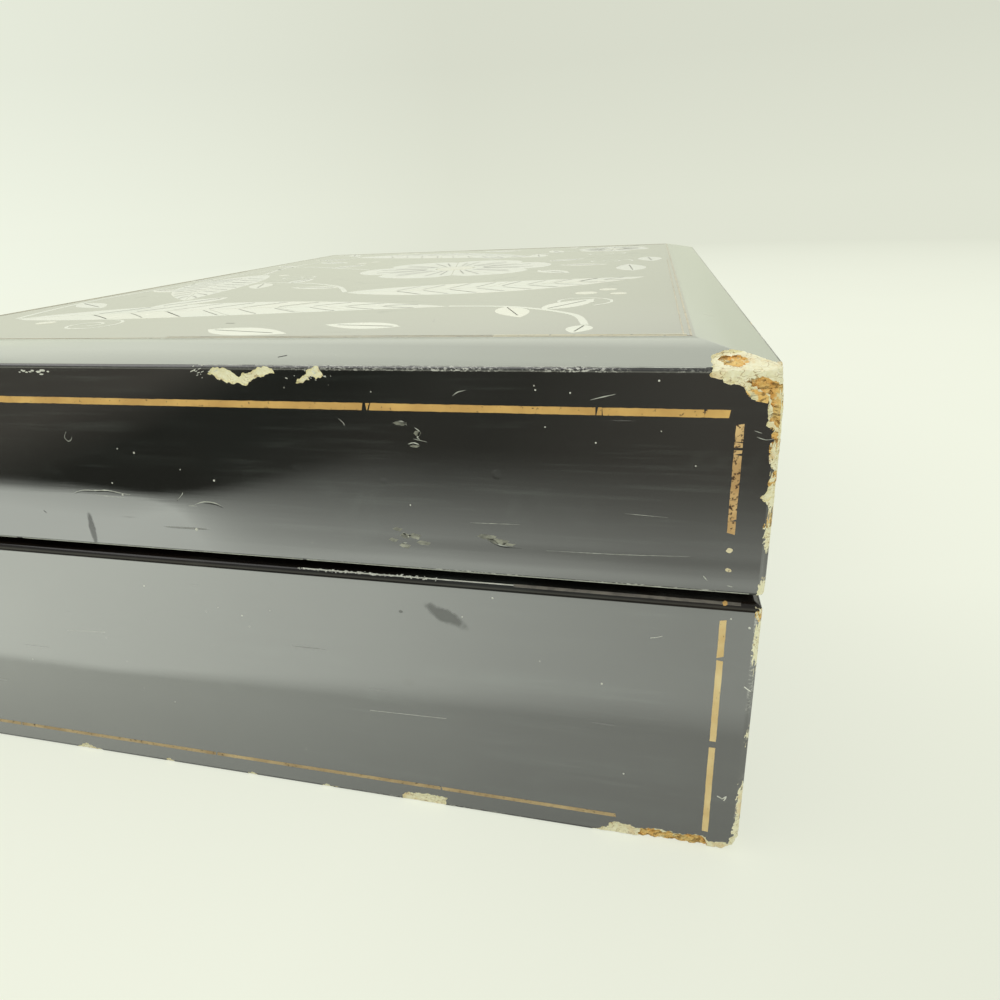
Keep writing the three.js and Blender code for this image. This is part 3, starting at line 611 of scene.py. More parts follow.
BASE_ROUND, BASE_RIM_ROUND, FOOT_ROUND, RIM_ROUND = 0.8, 1.5, 0.6, 0.8
BASE_BOARD, LID_BOARD, SOFTENED = 9.0 - FILM, 8.2 - FILM, 0.4
base_profile = arc(BASE_ROUND, BASE_ROUND, BASE_ROUND, -90, 0, 4)
base_profile += arc(BASE_RIM_ROUND, BASE_TOP - BASE_RIM_ROUND, BASE_RIM_ROUND, 0, 90, 8)
base_profile += [(8.6, BASE_TOP), (BASE_BOARD, BASE_TOP - SOFTENED), (BASE_BOARD, SOFTENED), (8.6, 0.0)]
base_kinds = [EDGE] * 4 + [PLAIN] + [RIM] * 9 + [INSIDE] * 4
base_skin = skin("base_skin", base_profile, base_kinds, True, LACQUER_BASE)

rim_end = 90 - degrees(LEAN)
rim_inset = RIM_ROUND * (1 - cos(radians(rim_end)))
rim_centre = LID_RIM - FILM + SLOPE * rim_inset - RIM_ROUND * sin(radians(rim_end))
lid_profile = [(LID_BOARD, 88.28), (LID_BOARD, LID_UNDER + SOFTENED), (7.8, LID_UNDER)]
lid_profile += arc(FOOT_ROUND, LID_UNDER + FOOT_ROUND, FOOT_ROUND, -90, 0, 4)
lid_profile += arc(RIM_ROUND, rim_centre, RIM_ROUND, 0, rim_end, 6) + [(BEVEL, SKIN_TOP)]
lid_kinds = [INSIDE, INSIDE, RIM] + [EDGE] * 4 + [PLAIN] + [EDGE] * 6 + [SLOPED]
lid_skin = skin("lid_skin", lid_profile, lid_kinds, False, LACQUER, [(0, INSIDE), (len(lid_profile) - 1, TOP)])
FACES["base_rim"] = edge_frame(BASE_RIM_ROUND, BASE_TOP - BASE_RIM_ROUND, 48)
FACES["lid_foot"] = edge_frame(FOOT_ROUND, LID_UNDER + FOOT_ROUND, -28)
FACES["lid_rim"] = edge_frame(RIM_ROUND, rim_centre, 66)

# The rear bevels that hold the open lid, and the room for the hinges' knuckles
HINGE_X, AXIS_Y, AXIS_Z = 85.0, 99.7, 54.0
KNUCKLE_ROOM, KNUCKLE_LENGTH = 2.15, 30.1
STOP_IN, STOP_OUT, BEYOND_X, BEYOND_Y = 99.98, 103.02, 150, 105
knuckle, half = circle(AXIS_Y, AXIS_Z, KNUCKLE_ROOM, 32), KNUCKLE_LENGTH / 2
for obj, stop in (
    (base_skin, [(STOP_IN, BASE_TOP), (STOP_OUT, 49.6), (BEYOND_Y, 49.6), (BEYOND_Y, AXIS_Z), (STOP_IN, AXIS_Z)]),
    (lid_skin, [(STOP_IN, LID_UNDER), (STOP_IN, AXIS_Z), (BEYOND_Y, AXIS_Z), (BEYOND_Y, 58.4), (STOP_OUT, 58.4)]),
):
    rooms = [prism(knuckle, x - half, x + half, LACQUER_INSIDE) for x in (-HINGE_X, HINGE_X)]
    cut(obj, [prism(stop, -BEYOND_X, BEYOND_X, LACQUER_RIM)] + rooms)

# Flaked places, as (face, material, depth, outline as u, v, u, v...)
LID_CHIPS = [
    (
        "left", GESSO, 0.35, -5.7, 91, -7.3, 92.1, -9, 91.9, -10.3, 91.6, -11.1, 90.8, -12.1, 90.5, -13, 91.1,
        -13.9, 91, -15.3, 91.6, -16.7, 92.3, -18.3, 92, -19.1, 91.2, -17.7, 90.8, -15.9, 90.4, -14.6, 89.9,
        -13.7, 89.2, -13.1, 88.8, -11.8, 89.1, -10.3, 89.1, -8.8, 89.6, -7.4, 90.1, -6.9, 90.6,
    ),
    (
        "left", GESSO, 0.35, -22.8, 89.4, -23, 89.9, -24, 90.3, -25.4, 91.7, -26.7, 92.3, -27.7, 91.7, -28.2, 90.9,
        -27.9, 90.4, -26.7, 90.2, -25.8, 90.6, -25.4, 90, -24.1, 89.6, -23.2, 89.2,
    ),
    (
        "left", GESSO, 0.5, -91, 94, -91, 92.1, -90.3, 91.3, -91.8, 90.8, -93.4, 90, -94.5, 89.9, -95.9, 89.3,
        -97.2, 89.2, -98.2, 88.9, -98.9, 88.1, -99.2, 86.9, -99, 85.6, -99.4, 84.6, -99, 83.9, -99.9, 83.3,
        -101, 82.6, -103, 82.6, -103, 94,
    ),
    (
        "left", SPLINTERS, 0.85, -95.9, 90.2, -97.2, 90.9, -98.5, 90.9, -99.6, 90.3, -103, 90, -103, 82.9,
        -100.4, 83.2, -99.7, 84.6, -99.9, 86.5, -99.3, 88, -98.4, 88.9, -97.1, 89.5,
    ),
    ("left", GESSO, 0.4, -103, 82, -100.8, 81.9, -100.2, 80.5, -99.9, 79.7, -100, 78.6, -100.8, 78.3, -103, 78.4),
    ("left", GESSO, 0.4, -103, 75, -100.8, 74.5, -100, 73.2, -99.1, 72.1, -99.8, 71.3, -100.8, 72, -103, 72.6),
    ("left", GESSO, 0.35, -103, 68.6, -100.9, 68.2, -100.6, 67, -100.4, 65.2, -101, 65.4, -103, 66),
    ("left", GESSO, 0.4, -103, 58, -101.3, 57.5, -101, 56.8, -100.3, 55.5, -99.8, 54, -103, 54),
    (
        "left_bevel", GESSO, 0.45, -91, -2, -91, 0.6, -90.7, 3.5, -91.3, 5.4, -92.7, 6.6, -94.5, 7.3, -96.7, 7.3,
        -98.7, 6.8, -99.7, 8, -101, 7, -103, 5, -103, -2,
    ),
    (
        "left_bevel", SPLINTERS, 0.8, -92, 4.5, -92.6, 5.8, -94.4, 6, -96.2, 5.2, -96.4, 4, -95.6, 2.5, -93.9, 2,
        -92.6, 2.7,
    ),
    (
        "front", GESSO, 0.45, -145, 94, -137, 94, -137.6, 90.6, -139.6, 88.9, -141.2, 86.2, -141, 83.8, -141.7, 81,
        -142, 78.2, -145, 78,
    ),
    ("front", GESSO, 0.4, -145, 74.6, -141.9, 74.4, -141.3, 73, -141.8, 71.8, -145, 71.6),
]
BASE_CHIPS = [
    (
        "left", GESSO, 0.45, -103, 54, -99.6, 54, -99.9, 53.2, -100.6, 52.5, -101.2, 51.6, -101.3, 49, -101.2, 46.8,
        -103, 46.6,
    ),
    (
        "left", GESSO, 0.5, -74.6, 0.6, -76.4, 1.2, -77.7, 1.9, -78, 2.8, -79.3, 3.1, -81.2, 2.9, -82.8, 2.4,
        -85.8, 2.8, -87.3, 3, -89.5, 2.6, -91.5, 2.5, -93.6, 3.1, -95.1, 2.9, -96.2, 1.9, -98.3, 2, -99.3, 2.1,
        -100.6, 1.2, -103, 1, -103, -1.5, -74.6, -1.5,
    ),
    (
        "left", SPLINTERS, 0.95, -83.5, 1.9, -86, 2.4, -89.4, 2.1, -91.5, 2, -93.6, 2.6, -95, 2.2, -95.8, 1,
        -96, -1.5, -83.2, -1.5,
    ),
    (
        "left", GESSO, 0.45, -35.2, 0.8, -36, 2.2, -39.3, 2.6, -41.9, 2.6, -45.1, 2.4, -44.7, 0.6, -43, -1.5,
        -36.5, -1.5,
    ),
    ("left", GESSO, 0.4, 46.1, 0.4, 43.4, 1.8, 41.1, 1, 39, 0.5, 39.6, -1.5, 45.8, -1.5),
    ("left", GESSO, 0.35, 21.8, 0.9, 20.6, 1.2, 19.6, 0.6, 19.8, -1.5, 21.9, -1.5),
    ("left", GESSO, 0.35, 0.9, 0.7, -0.3, 1.1, -1.4, 0.6, -1.2, -1.5, 0.8, -1.5),
    ("left", GESSO, 0.35, -17, 0.7, -18.3, 1, -19.6, 0.5, -19.3, -1.5, -17.2, -1.5),
    ("front", GESSO, 0.5, -145, 4.2, -142.2, 3.6, -140.8, 1.6, -138.6, 1.2, -134, 0.9, -132, -1.5, -145, -1.5),
]


def edge_chips(face, half, upper, seed, count=4):
    """Small flaked places along the lid's upper edge or the base's lower one"""
    dice = random.Random(seed)
    edge, beyond, way = (LID_RIM, 1.7, -1) if upper else (0.0, -1.5, 1)
    rows = []
    for _ in range(count):
        u, wide, tall = dice.uniform(8 - half, half - 8), dice.uniform(1.2, 5.0), dice.uniform(0.6, 1.7)
        outline = [u + wide / 2, edge + beyond]
        for a in (radians(180 * k / 6) for k in range(7)):
            bite = sin(a) ** 0.6 * dice.uniform(0.6, 1.0) - 0.1
            outline += [u + wide / 2 * cos(a), edge + way * tall * bite]
        rows.append((face, GESSO, dice.uniform(0.3, 0.45), *outline, u - wide / 2, edge + beyond))
    return rows


for face, half, seed in (("right", HALF_Y, 61), ("front", HALF_X, 66), ("rear", HALF_X, 73)):
    LID_CHIPS += edge_chips(face, half, True, seed)
    BASE_CHIPS += edge_chips(face, half, False, seed + 1)


def worn_corner(levels, woods, seed, steps=14):
    """A cutter that rounds off the front left corner. levels are (z, radius, inset), woods the heights between
    which bare wood shows in the ground coat."""
    beyond, clear, row_height = -3.0, 0.02, 0.35
    reach = max(radius + inset for _, radius, inset in levels) + 0.3
    fine = [p for a, b in zip(levels, levels[1:]) for p in split(a, b, (b[0] - a[0]) / row_height)] + [levels[-1]]
    wide = steps + 6
    points, faces, kinds = [], [], []
    for i, (z, radius, inset) in enumerate(fine):
        off = inset - clear
        row = [(reach, beyond), (beyond, beyond), (beyond, reach), (-clear, reach)]
        for k in range(steps + 1):
            angle = radians(90 * k / steps)
            lump = 0.34 * noise.fractal(Vector((k * 0.45, z * 1.1, seed)), 0.7, 2.0, 4)
            r = radius + lump * (min(1.0, k * (steps - k) / 12) * min(1.0, max(0.0, radius - CORNER_ROUND)))
            row.append((off + radius - r * cos(angle), off + radius - r * sin(angle)))
        row.append((reach, -clear))
        points += [(-OUT_X + u, -OUT_Y + v, z) for u, v in row]
        if i < len(fine) - 1:
            faces += walls(wide, i * wide, (i + 1) * wide)
            wood = any(low <= z < high for low, high in woods)
            for k in range(wide):
                crumbly = wave(k * 0.5, z * 0.9, seed + 4) > (-0.45 if z > 78 else -0.12)
                kinds.append(1 if wood and crumbly else 0)
    faces += [tuple(range(wide)), tuple((len(fine) - 1) * wide + k for k in range(wide))]
    return piece("corner", points, faces, [GESSO, SPLINTERS], face_materials=kinds + [0, 0])


# Levels of the worn corners as z, radius, inset
LID_CORNER = groups(
    3,
    53.5, 1.9, 0, 55.5, 1.6, 0, 58, 1.25, 0, 61.5, 1.22, 0, 64, 1.36, 0, 67, 1.48, 0, 69.5, 1.28, 0, 71.5, 1.45, 0,
    74, 1.6, 0, 76.5, 1.34, 0, 79, 1.7, 0, 83.4, 1.9, 0, 86.5, 2.4, 0, 89.8, 2.8, 0.1, 91.2, 3, 0.2, 92, 3.2, 0.5,
    92.6, 3.2, 1.3, 93.1, 3, 2.6, 96, 3, 3.4,
)
BASE_CORNER = groups(
    3,
    -1, 3.8, 1, 0, 3.6, 0.6, 0.9, 3.2, 0.2, 2.4, 2.25, 0, 4.4, 1.6, 0, 8, 1.34, 0, 13, 1.42, 0, 17, 1.26, 0,
    21, 1.22, 0, 27, 1.3, 0, 31, 1.22, 0, 36, 1.22, 0, 41, 1.28, 0, 46, 1.45, 0, 50, 1.3, 0, 54, 1.8, 0,
)
for obj, body, corner, woods, corner_seed, chips, chip_seed, nodes in (
    (
        lid_skin, "lid", LID_CORNER, [(67, 69.5), (74, 76.5), (79, 89.8)], 3.0, LID_CHIPS, 1,
        ["lid_front", "lid_rear", "lid_left", "lid_right", "lid_panel"],
    ),
    (
        base_skin, "base", BASE_CORNER, [(50, 54)], 9.0, BASE_CHIPS, 40,
        ["base_front", "base_rear", "base_left", "base_right"],
    ),
):
    cut(obj, [worn_corner(corner, woods, corner_seed)])
    for index, (face, material, depth, *outline) in enumerate(chips):
        cut(obj, [chip(face, groups(2, *outline), material, depth, chip_seed + index)])
    trim(obj)
    soften(obj, 32)
    weighted = obj.modifiers.new("weighted", "WEIGHTED_NORMAL")
    weighted.keep_sharp = True
    weighted.weight = 100
    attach(obj, body)
    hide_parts(*nodes)


# ---------------------------------------------------------------- painted gold lines
# How far films stand out of a face, and how far they all go into it
PAINT_HIGH, CORNER_HIGH, SCRATCH_HIGH, DARK_HIGH = 0.035, 0.040, 0.012, 0.008
ENGRAVING_HIGH, STEM_HIGH, TENDRIL_HIGH = 0.040, 0.022, 0.018
UNDER = 0.03
STROKE_STEP = 0.5


def strip(face, path, width, seed, over, thin):
    """Points and faces of one painted stroke along (u, v) points, with uneven edges. A thin one tapers."""
    fine = [p for a, b in zip(path, path[1:]) for p in split(a, b, dist(a, b) / STROKE_STEP)] + [path[-1]]
    points, faces = [], []
    full, last = width, len(fine) - 1
    for i, (u, v) in enumerate(fine):
        a, b = fine[max(i - 1, 0)], fine[min(i + 1, last)]
        du, dv, size = b[0] - a[0], b[1] - a[1], dist(a, b) or 1
        nu, nv = -dv / size, du / size
        if thin:
            taper = 0.15 + 0.85 * min(1, 2.5 * min(i, last - i) / max(last, 1))
            width = full * taper * (1 + 0.9 * wave(u * 1.7, v * 1.7, seed))
        left = width / 2 * (1 + 0.1 * wave(u * 0.8, v * 0.8, seed))
        right = width / 2 * (1 + 0.1 * wave(u * 0.8, v * 0.8, seed + 9))
        torn = 0.35 * wave(seed * 3.1, i * 1.7, 4.0) if i in (0, last) else 0.0
        for side, out in ((left, over), (-right, over), (-right, -UNDER), (left, -UNDER)):
            slip = torn * side / size * 2
            points.append(on_face(face, u + nu * side + du * slip, v + nv * side + dv * slip, out))
        if i:
            faces += walls(4, 4 * (i - 1), 4 * i)
    faces += [(0, 1, 2, 3), (4 * last + 3, 4 * last + 2, 4 * last + 1, 4 * last)]
    return points, faces


def gather(name, parts, material, body, smooth=None):
    """Several closed shapes, as (points, faces), in one piece"""
    points, faces = [], []
    for more, ends in parts:
        faces += [tuple(len(points) + k for k in f) for f in ends]
        points += more
    return piece(name, points, faces, [material], body, smooth=smooth)


def strokes(name, rows, material, body, over=PAINT_HIGH, thin=False):
    """Several strokes, as (face, path, width), in one piece"""
    parts = [strip(*row, i * 1.7 + len(name), over, thin) for i, row in enumerate(rows)]
    return gather(name, parts, material, body)


def broken(start, end, gaps):
    """Runs from start to end along one direction, without the gaps (place, width)"""
    runs, at = [], start
    sign = 1 if end > start else -1
    for place, width in sorted(gaps, key=lambda g: sign * g[0]):
        runs.append((at, place - sign * width / 2))
        at = place + sign * width / 2
    runs.append((at, end))
    return [r for r in runs if sign * (r[1] - r[0]) > 0.2]


def level(face, v, width, *run):
    """Strokes along u at one v, from start to end without the gaps"""
    return [(face, [(a, v), (b, v)], width) for a, b in broken(*run)]


def upright(face, u, width, *run):
    """Strokes along v at one u, from start to end without the gaps"""
    return [(face, [(u, a), (u, b)], width) for a, b in broken(*run)]


LINE_LID, LINE_FOOT, LINE_IN, LEFT_IN = 85.4, 4.7, 6.1, 95.4
WIDE, FOOT_WIDE, BASE_WIDE = 1.25, 0.8, 1.08
lid_gaps = [(-35.0, 0.7), (-35.9, 0.25), (-74.0, 0.3), (-74.9, 0.12), (-90.2, 0.1)]
worn_gaps = [(81.0, 0.15), (79.9, 0.4), (79.0, 0.2), (71.4, 0.06), (67.9, 0.14)]
lid_lines = level("left", LINE_LID, WIDE, -93.8, 95.0, lid_gaps)
lid_lines += upright("left", LEFT_IN, WIDE, 84.0, 57.0, [(70.0, 0.5), (62.5, 0.12)])
worn_lines = upright("left", -LEFT_IN, 1.2, 83.8, 65.7, worn_gaps)
worn_runs = ((49.8, 42.6), (41.9, 25.0), (23.6, 4.2))
base_lines = [("left", [(-LEFT_IN, a), (-LEFT_IN, b)], BASE_WIDE) for a, b in worn_runs]
base_lines += upright("left", LEFT_IN, BASE_WIDE, 50.0, 5.0, [(33.0, 0.6)])
base_foot = level("left", LINE_FOOT, FOOT_WIDE, -79.0, 95.0, [(-44.0, 0.3), (8.0, 0.4), (61.0, 0.3)])
for face, half, seed in (("right", HALF_Y, 5), ("front", HALF_X, 11), ("rear", HALF_X, 17)):
    end = half - LINE_IN
    dice = random.Random(seed)
    gaps = [(dice.uniform(-end, end), dice.choice((0.12, 0.12, 0.3, 0.7))) for _ in range(6)]
    lid_lines += level(face, LINE_LID, WIDE, -end + 1.6, end - 1.6, gaps)
    gaps = [(dice.uniform(-end, end), dice.choice((0.12, 0.3, 0.9))) for _ in range(5)]
    base_foot += level(face, LINE_FOOT, FOOT_WIDE, -end, end, gaps)
    for side in (-1, 1):
        gaps = [(dice.uniform(60, 82), 0.14), (dice.uniform(60, 82), 0.6)]
        lid_lines += upright(face, side * end, WIDE, 83.8, 57.2, gaps)
        gaps = [(dice.uniform(10, 45), 0.14), (dice.uniform(10, 45), 0.8)]
        base_lines += upright(face, side * end, 1.2, 49.8, 4.2, gaps)
strokes("gold_lines_lid", lid_lines, GOLD, "lid")
strokes("gold_lines_base", base_lines, GOLD_PALE, "base")
strokes("gold_lines_foot", base_foot, GOLD_DULL, "base")
strokes("gold_lines_worn", worn_lines, GOLD_WORN, "lid")

panel_x, panel_y = HALF_X - BEVEL, HALF_Y - BEVEL
panel_lines, clear_lines = [], []
for inset, width, share in ((0.7, 0.34, 1.0), (1.9, 0.24, 0.35)):
    clear_lines.append(("top", [(-panel_x + inset, -panel_y + 1.4), (-panel_x + inset, -panel_y + 34.0)], 0.4))
    ex, ey = panel_x - inset, panel_y - inset
    for side in (-1, 1):
        gaps = [(-ey + 9, 0.2), (12, 0.5), (-30, 0.3)]
        panel_lines += upright("top", side * ex, width, -ey, -ey + 2 * ey * share, gaps)
        panel_lines += level("top", side * ey, width, -ex, -ex + 2 * ex * share, [(-60, 0.4), (35, 0.6)])
strokes("gold_lines_panel", panel_lines, GOLD_FAINT, "lid")
strokes("gold_lines_corner", clear_lines, GOLD_CREAM, "lid", CORNER_HIGH)


# ---------------------------------------------------------------- scratches, specks, worn lines and painted edge highlights
def curve(points, steps=8):
    """A smooth run through the points"""
    run = []
    ends = [points[0]] + points + [points[-1]]
    for i in range(1, len(ends) - 2):
        pairs = list(zip(*ends[i - 1 : i + 3]))
        for t in (k / steps for k in range(steps)):
            run.append(tuple(
                0.5 * (2 * b + (c - a) * t + (2 * a - 5 * b + 4 * c - d) * t * t + (3 * b - a - 3 * c + d) * t**3)
                for a, b, c, d in pairs
            ))
    run.append(points[-1])
    return run


def film_patch(face, outline, seed):
    """A thin plate with a ragged outline, as points and faces"""
    edge = ragged(outline, 0.3, 0.12, seed)
    n = len(edge)
    points = [on_face(face, u, v, out) for out in (SCRATCH_HIGH, -UNDER) for u, v in edge]
    return points, [tuple(range(n)), tuple(range(n, 2 * n))] + walls(n, 0, n)


def blister(face, u, v, radius, stretch=1.0, turn=0.0, high=0.04):
    """A small closed dome on a face, as points and faces"""
    sides, points = 12, []
    for share, out in ((1.0, -UNDER), (1.0, 0.004), (0.72, 0.6 * high), (0.36, 0.92 * high)):
        for k in range(sides):
            c, s = cos(2 * pi * k / sides), sin(2 * pi * k / sides)
            uneven = 1 + 0.25 * wave(c * 1.5 + u, s * 1.5 + v, radius)
            along, across = radius * stretch * share * uneven * c, radius * share * uneven * s
            points.append(on_face(face, *turned(u, v, along, across, radians(turn)), out))
    faces = [f for row in range(3) for f in walls(sides, row * sides, (row + 1) * sides)]
    return points, faces + [tuple(range(sides)), tuple(range(3 * sides, 4 * sides))]


# Scratches on the lid's left face: width, then u, v, u, v...
LIGHT_SCRATCHES = [
    (0.16, 27.5, 79.1, 28.2, 78, 27.6, 77.2, 26.9, 77.4, 26.4, 78.1),
    (0.2, 29.2, 66.2, 27, 66.9, 24, 67, 20.9, 67.15, 17.8, 66.7, 15.9, 66.5),
    (0.1, 24.3, 66.1, 20.8, 65.9, 17.3, 65.8), (0.14, 5.4, 65.9, 4.2, 67.1, 3.9, 67.6),
    (0.16, 1.8, 65.2, -0.4, 65.9, -2.6, 65.8, -4.2, 65.2), (0.09, 3.2, 64.9, 1.2, 64.9),
    (0.3, -43.8, 81.9, -44.6, 81.2, -44.2, 80.2, -44.6, 79.8), (0.22, -40.6, 82.9, -41.7, 82.9, -42.4, 82.3),
    (0.24, -42.4, 78.9, -43.4, 79.2, -44.4, 78.9), (0.3, -40.2, 62.2, -40.8, 61.6), (0.22, -39.9, 60, -40.9, 60.2),
    (0.1, -43.4, 79.9, -45.9, 79.4), (0.14, -50.7, 87.5, -51.7, 88.2, -53.1, 88.5),
    (0.14, -97.9, 81.9, -99.2, 81.5, -100.3, 81.7), (0.08, -97.4, 82.9, -98.6, 82.5),
    (0.14, -55.3, 62.2, -56.8, 61.8, -57.9, 61, -59.7, 60.9), (0.18, -91.7, 57.9, -92.4, 57),
    (0.14, -95.5, 56.4, -96.4, 56.2), (0.07, -66, 60.5, -78.3, 60.7, -89.5, 61.2),
    (0.06, -52.7, 64.9, -61.5, 65.1), (0.06, -78.9, 68.2, -85.7, 67.9),
    (0.12, -73, 87.2, -74.8, 87.7, -76.9, 88.2), (0.1, -30, 83.2, -30.9, 82.4, -31, 81.9),
]
DARK_SCRATCHES = [
    (0.16, 29.4, 65.9, 27.2, 66.6, 24.1, 66.75, 21, 66.9, 18, 66.4), (0.2, -0.2, 65.6, -2.6, 65.5, -4.4, 64.8),
    (0.12, 5.6, 65.7, 4.4, 66.9), (0.14, -55.6, 61.9, -57.9, 60.7, -61.8, 60.6), (0.2, 37.9, 61.9, 37.2, 61.3),
]
# Specks on the left faces (u, v, radius), and flakes (u, v, radius, stretch)
LID_SPECKS = groups(
    3,
    17.7, 66.4, 0.2, 2.4, 59.9, 0.3, -3.4, 70.4, 0.2, 13, 75.3, 0.2, 16.6, 76, 0.12, 19.5, 68.8, 0.16,
    3.5, 72.3, 0.12, -42, 67.6, 0.14, -41.2, 61.4, 0.13, -64.4, 88.7, 0.14, -64.2, 89.4, 0.12, -83.3, 90.4, 0.16,
    -74, 80.2, 0.14, -65.9, 82.6, 0.11, -69.9, 88.3, 0.13, -89.4, 76.9, 0.12, -84, 82.4, 0.1, -26, 90.6, 0.12,
    -36.5, 88, 0.1, 50, 73, 0.11, 62, 80, 0.12, 78, 66, 0.13,
)
BASE_SPECKS = groups(
    3,
    17.4, 46.1, 0.18, -4.4, 41.3, 0.16, 0.8, 42.6, 0.1, -10.9, 43.1, 0.1, 16, 17.4, 0.12, -75.8, 34.6, 0.2,
    -56.2, 50.3, 0.16, -50.4, 45.8, 0.13, -80.2, 15, 0.16, -96.6, 50.2, 0.14, -99.6, 48.8, 0.2, 52, 24, 0.14,
    71, 38, 0.12,
)
FLAKES = groups(
    4,
    -39.2, 62.8, 0.7, 1.3, -40.6, 61.6, 0.9, 1.2, -42.4, 61.6, 0.9, 1.4, -40.4, 59.6, 0.8, 1.4,
    -38.3, 60.6, 0.6, 1.5, -44, 60.4, 0.7, 2, -55.6, 62.4, 0.9, 2, -57.6, 61.7, 0.9, 2.2, -59.4, 61.2, 0.5, 2.6,
    -41.2, 82.6, 0.6, 2.2, -44.2, 80.9, 0.8, 0.9, -43.6, 78.6, 0.4, 2.2,
)
FLAKE_SHAPE = ((1, 0), (0.3, 0.6), (-1, 0.2), (-0.5, -0.7), (0.4, -0.5))
for name, rows, material, high in (
    ("scratches_light", LIGHT_SCRATCHES, SCRATCH_AND_HIGHLIGHT_LINE, SCRATCH_HIGH),
    ("scratches_dark", DARK_SCRATCHES, SCRATCH_DARK, DARK_HIGH),
):
    lines = [("left", curve(groups(2, *path), 4), width) for width, *path in rows]
    strokes(name, lines, material, "lid", high, True)
lid_dots = [blister("left", -LEFT_IN, 62.7, 0.5, 0.9, 60), blister("left", -95.5, 59.2, 0.34, 1.5, 20)]
gather("gold_dots_lid", lid_dots, GOLD_CREAM, "lid", 60)
gather("gold_dots_base", [blister("base_rim", -95.5, 0.0, 0.42, 1.15, 0, 0.02)], GOLD, "base", 60)


def stray_marks(face, reach, low, high, seed, count=7):
    """Scratches and specks scattered over a face, as strokes and as specks"""
    dice = random.Random(seed)
    lines, dots = [], []
    for _ in range(count):
        u, v, size = dice.uniform(-reach, reach), dice.uniform(low, high), dice.uniform(1.5, 12)
        turn, bend = radians(dice.gauss(0, 22)), dice.uniform(-0.15, 0.15)
        path = [(u + size * t * cos(turn + bend * t), v + size * t * sin(turn + bend * t)) for t in (0, 0.5, 1)]
        if all(abs(a) < reach and low < b < high for a, b in path):
            lines.append((face, path, dice.uniform(0.05, 0.14)))
        for _ in range(3):
            dots.append((face, dice.uniform(-reach, reach), dice.uniform(low, high), dice.uniform(0.08, 0.2)))
    return lines, dots


# Clusters of specks under the lid's left rim: number, u, spread, v, spread, radius from, to, stretch from, to, turn
dice = random.Random(12)
for number, u, spread_u, v, spread_v, r0, r1, s0, s1, *turn in (
    (16, 30.8, 1.7, 90.9, 0.35, 0.08, 0.2, 1.5, 4),
    (14, -4.6, 1.2, 91.2, 0.5, 0.05, 0.1, 2, 6, -20),
    (18, -25.0, 2.6, 90.9, 0.7, 0.05, 0.1, 1, 3, 20),
):
    for _ in range(number):
        place = dice.gauss(u, spread_u), dice.gauss(v, spread_v)
        LID_SPECKS.append((*place, dice.uniform(r0, r1), dice.uniform(s0, s1), *turn))
stray = {"lid": ([], [("left", *row) for row in LID_SPECKS]), "base": ([], [("left", *row) for row in BASE_SPECKS])}
areas = [
    (body, face, reach, low, high, 80 + index + low)
    for body, low, high in (("lid", 56, 91), ("base", 2, 51))
    for index, (face, reach) in enumerate((("right", 98), ("front", 139), ("rear", 139)))
]
for body, *area in areas + [("lid", "top", 128, -86, 86, 97, 9)]:
    for marks, more in zip(stray[body], stray_marks(*area)):
        marks.extend(more)
for body, (lines, dots) in stray.items():
    strokes("scratches_stray_" + body, lines, SCRATCH_AND_HIGHLIGHT_LINE, body, SCRATCH_HIGH, True)
    gather("specks_" + body, [blister(*row) for row in dots], SPECK, body, 60)
nicks = [("left_bevel", groups(2, -19.4, 4.6, -18.0, 3.8), 0.35), ("top", groups(2, -111.5, 8.8, -111.8, 6.6), 0.4)]
strokes("nicks_bevel", nicks, SCRATCH_DARK, "lid", DARK_HIGH)
patches = [
    film_patch("left", [(u + a * r * stretch, v + b * r) for a, b in FLAKE_SHAPE], 3 * r)
    for u, v, r, stretch in FLAKES
]
gather("flakes_lid", patches, FLAKE, "lid")
base_scratches = [
    (0.22, -97.0, 12.9, -97.9, 12.4, -98.7, 13.2, -98.2, 12.0), (0.2, -99.7, 37.2, -100.3, 36.7, -100.8, 36.4),
    (0.08, -83.8, 45.1, -84.8, 45.3, -85.8, 45.7), (0.05, -30.0, 22.0, -46.0, 22.4), (0.06, 40.0, 33.0, 30.0, 33.6),
]
lines = [("left", groups(2, *path), width) for width, *path in base_scratches]
strokes("scratches_base", lines, SPECK, "base", SCRATCH_HIGH)
# pale lines along the lid's rounded lower and upper edges: worn polish, with a painted highlight where the edges
# catch the light
lines = level("lid_foot", 0.0, 0.20, -99.0, 99.0, [(-20, 0.8), (46, 1.5), (71, 0.6)])
lines += level("lid_rim", 0.0, 0.16, -90.0, -4.0, [(-71, 1.0), (-44, 1.2), (-29, 0.5), (-14, 2.5)])
strokes("worn_lines_lid", lines, SCRATCH_AND_HIGHLIGHT_LINE, "lid", DARK_HIGH)
# pale specks and light lines along the front of the base's rounded rim: worn polish with a painted highlight, fading
# to a dull line towards the front
dice = random.Random(31)
rubbed = []
for _ in range(170):
    place = dice.uniform(-46, -18), dice.gauss(0.12, 0.14)
    rubbed.append(blister("base_rim", *place, dice.uniform(0.05, 0.11), dice.uniform(1, 3), 0, 0.012))
gather("worn_specks_base", rubbed, SPECK, "base")
lines = [("base_rim", groups(2, -19.0, 0.15, -30.0, 0.1, -60.0, 0.15), 0.2)]
strokes("worn_line_base", lines, SPECK, "base", DARK_HIGH)
lines = [("base_rim", groups(2, -60.0, 0.1, -98.0, 0.0), 0.55)]
strokes("worn_line_base_dull", lines, WORN_DULL, "base", DARK_HIGH)


# ---------------------------------------------------------------- shell inlay
LEAF_LENGTH, LEAF_WIDTH, LEAF_BOW = 100, 28, 8
PETALS, PETAL_STEPS, PETAL_DEPTH = 6, 7, 0.2
PLATE_GAP, SMALL_GAP = 0.16, 0.08
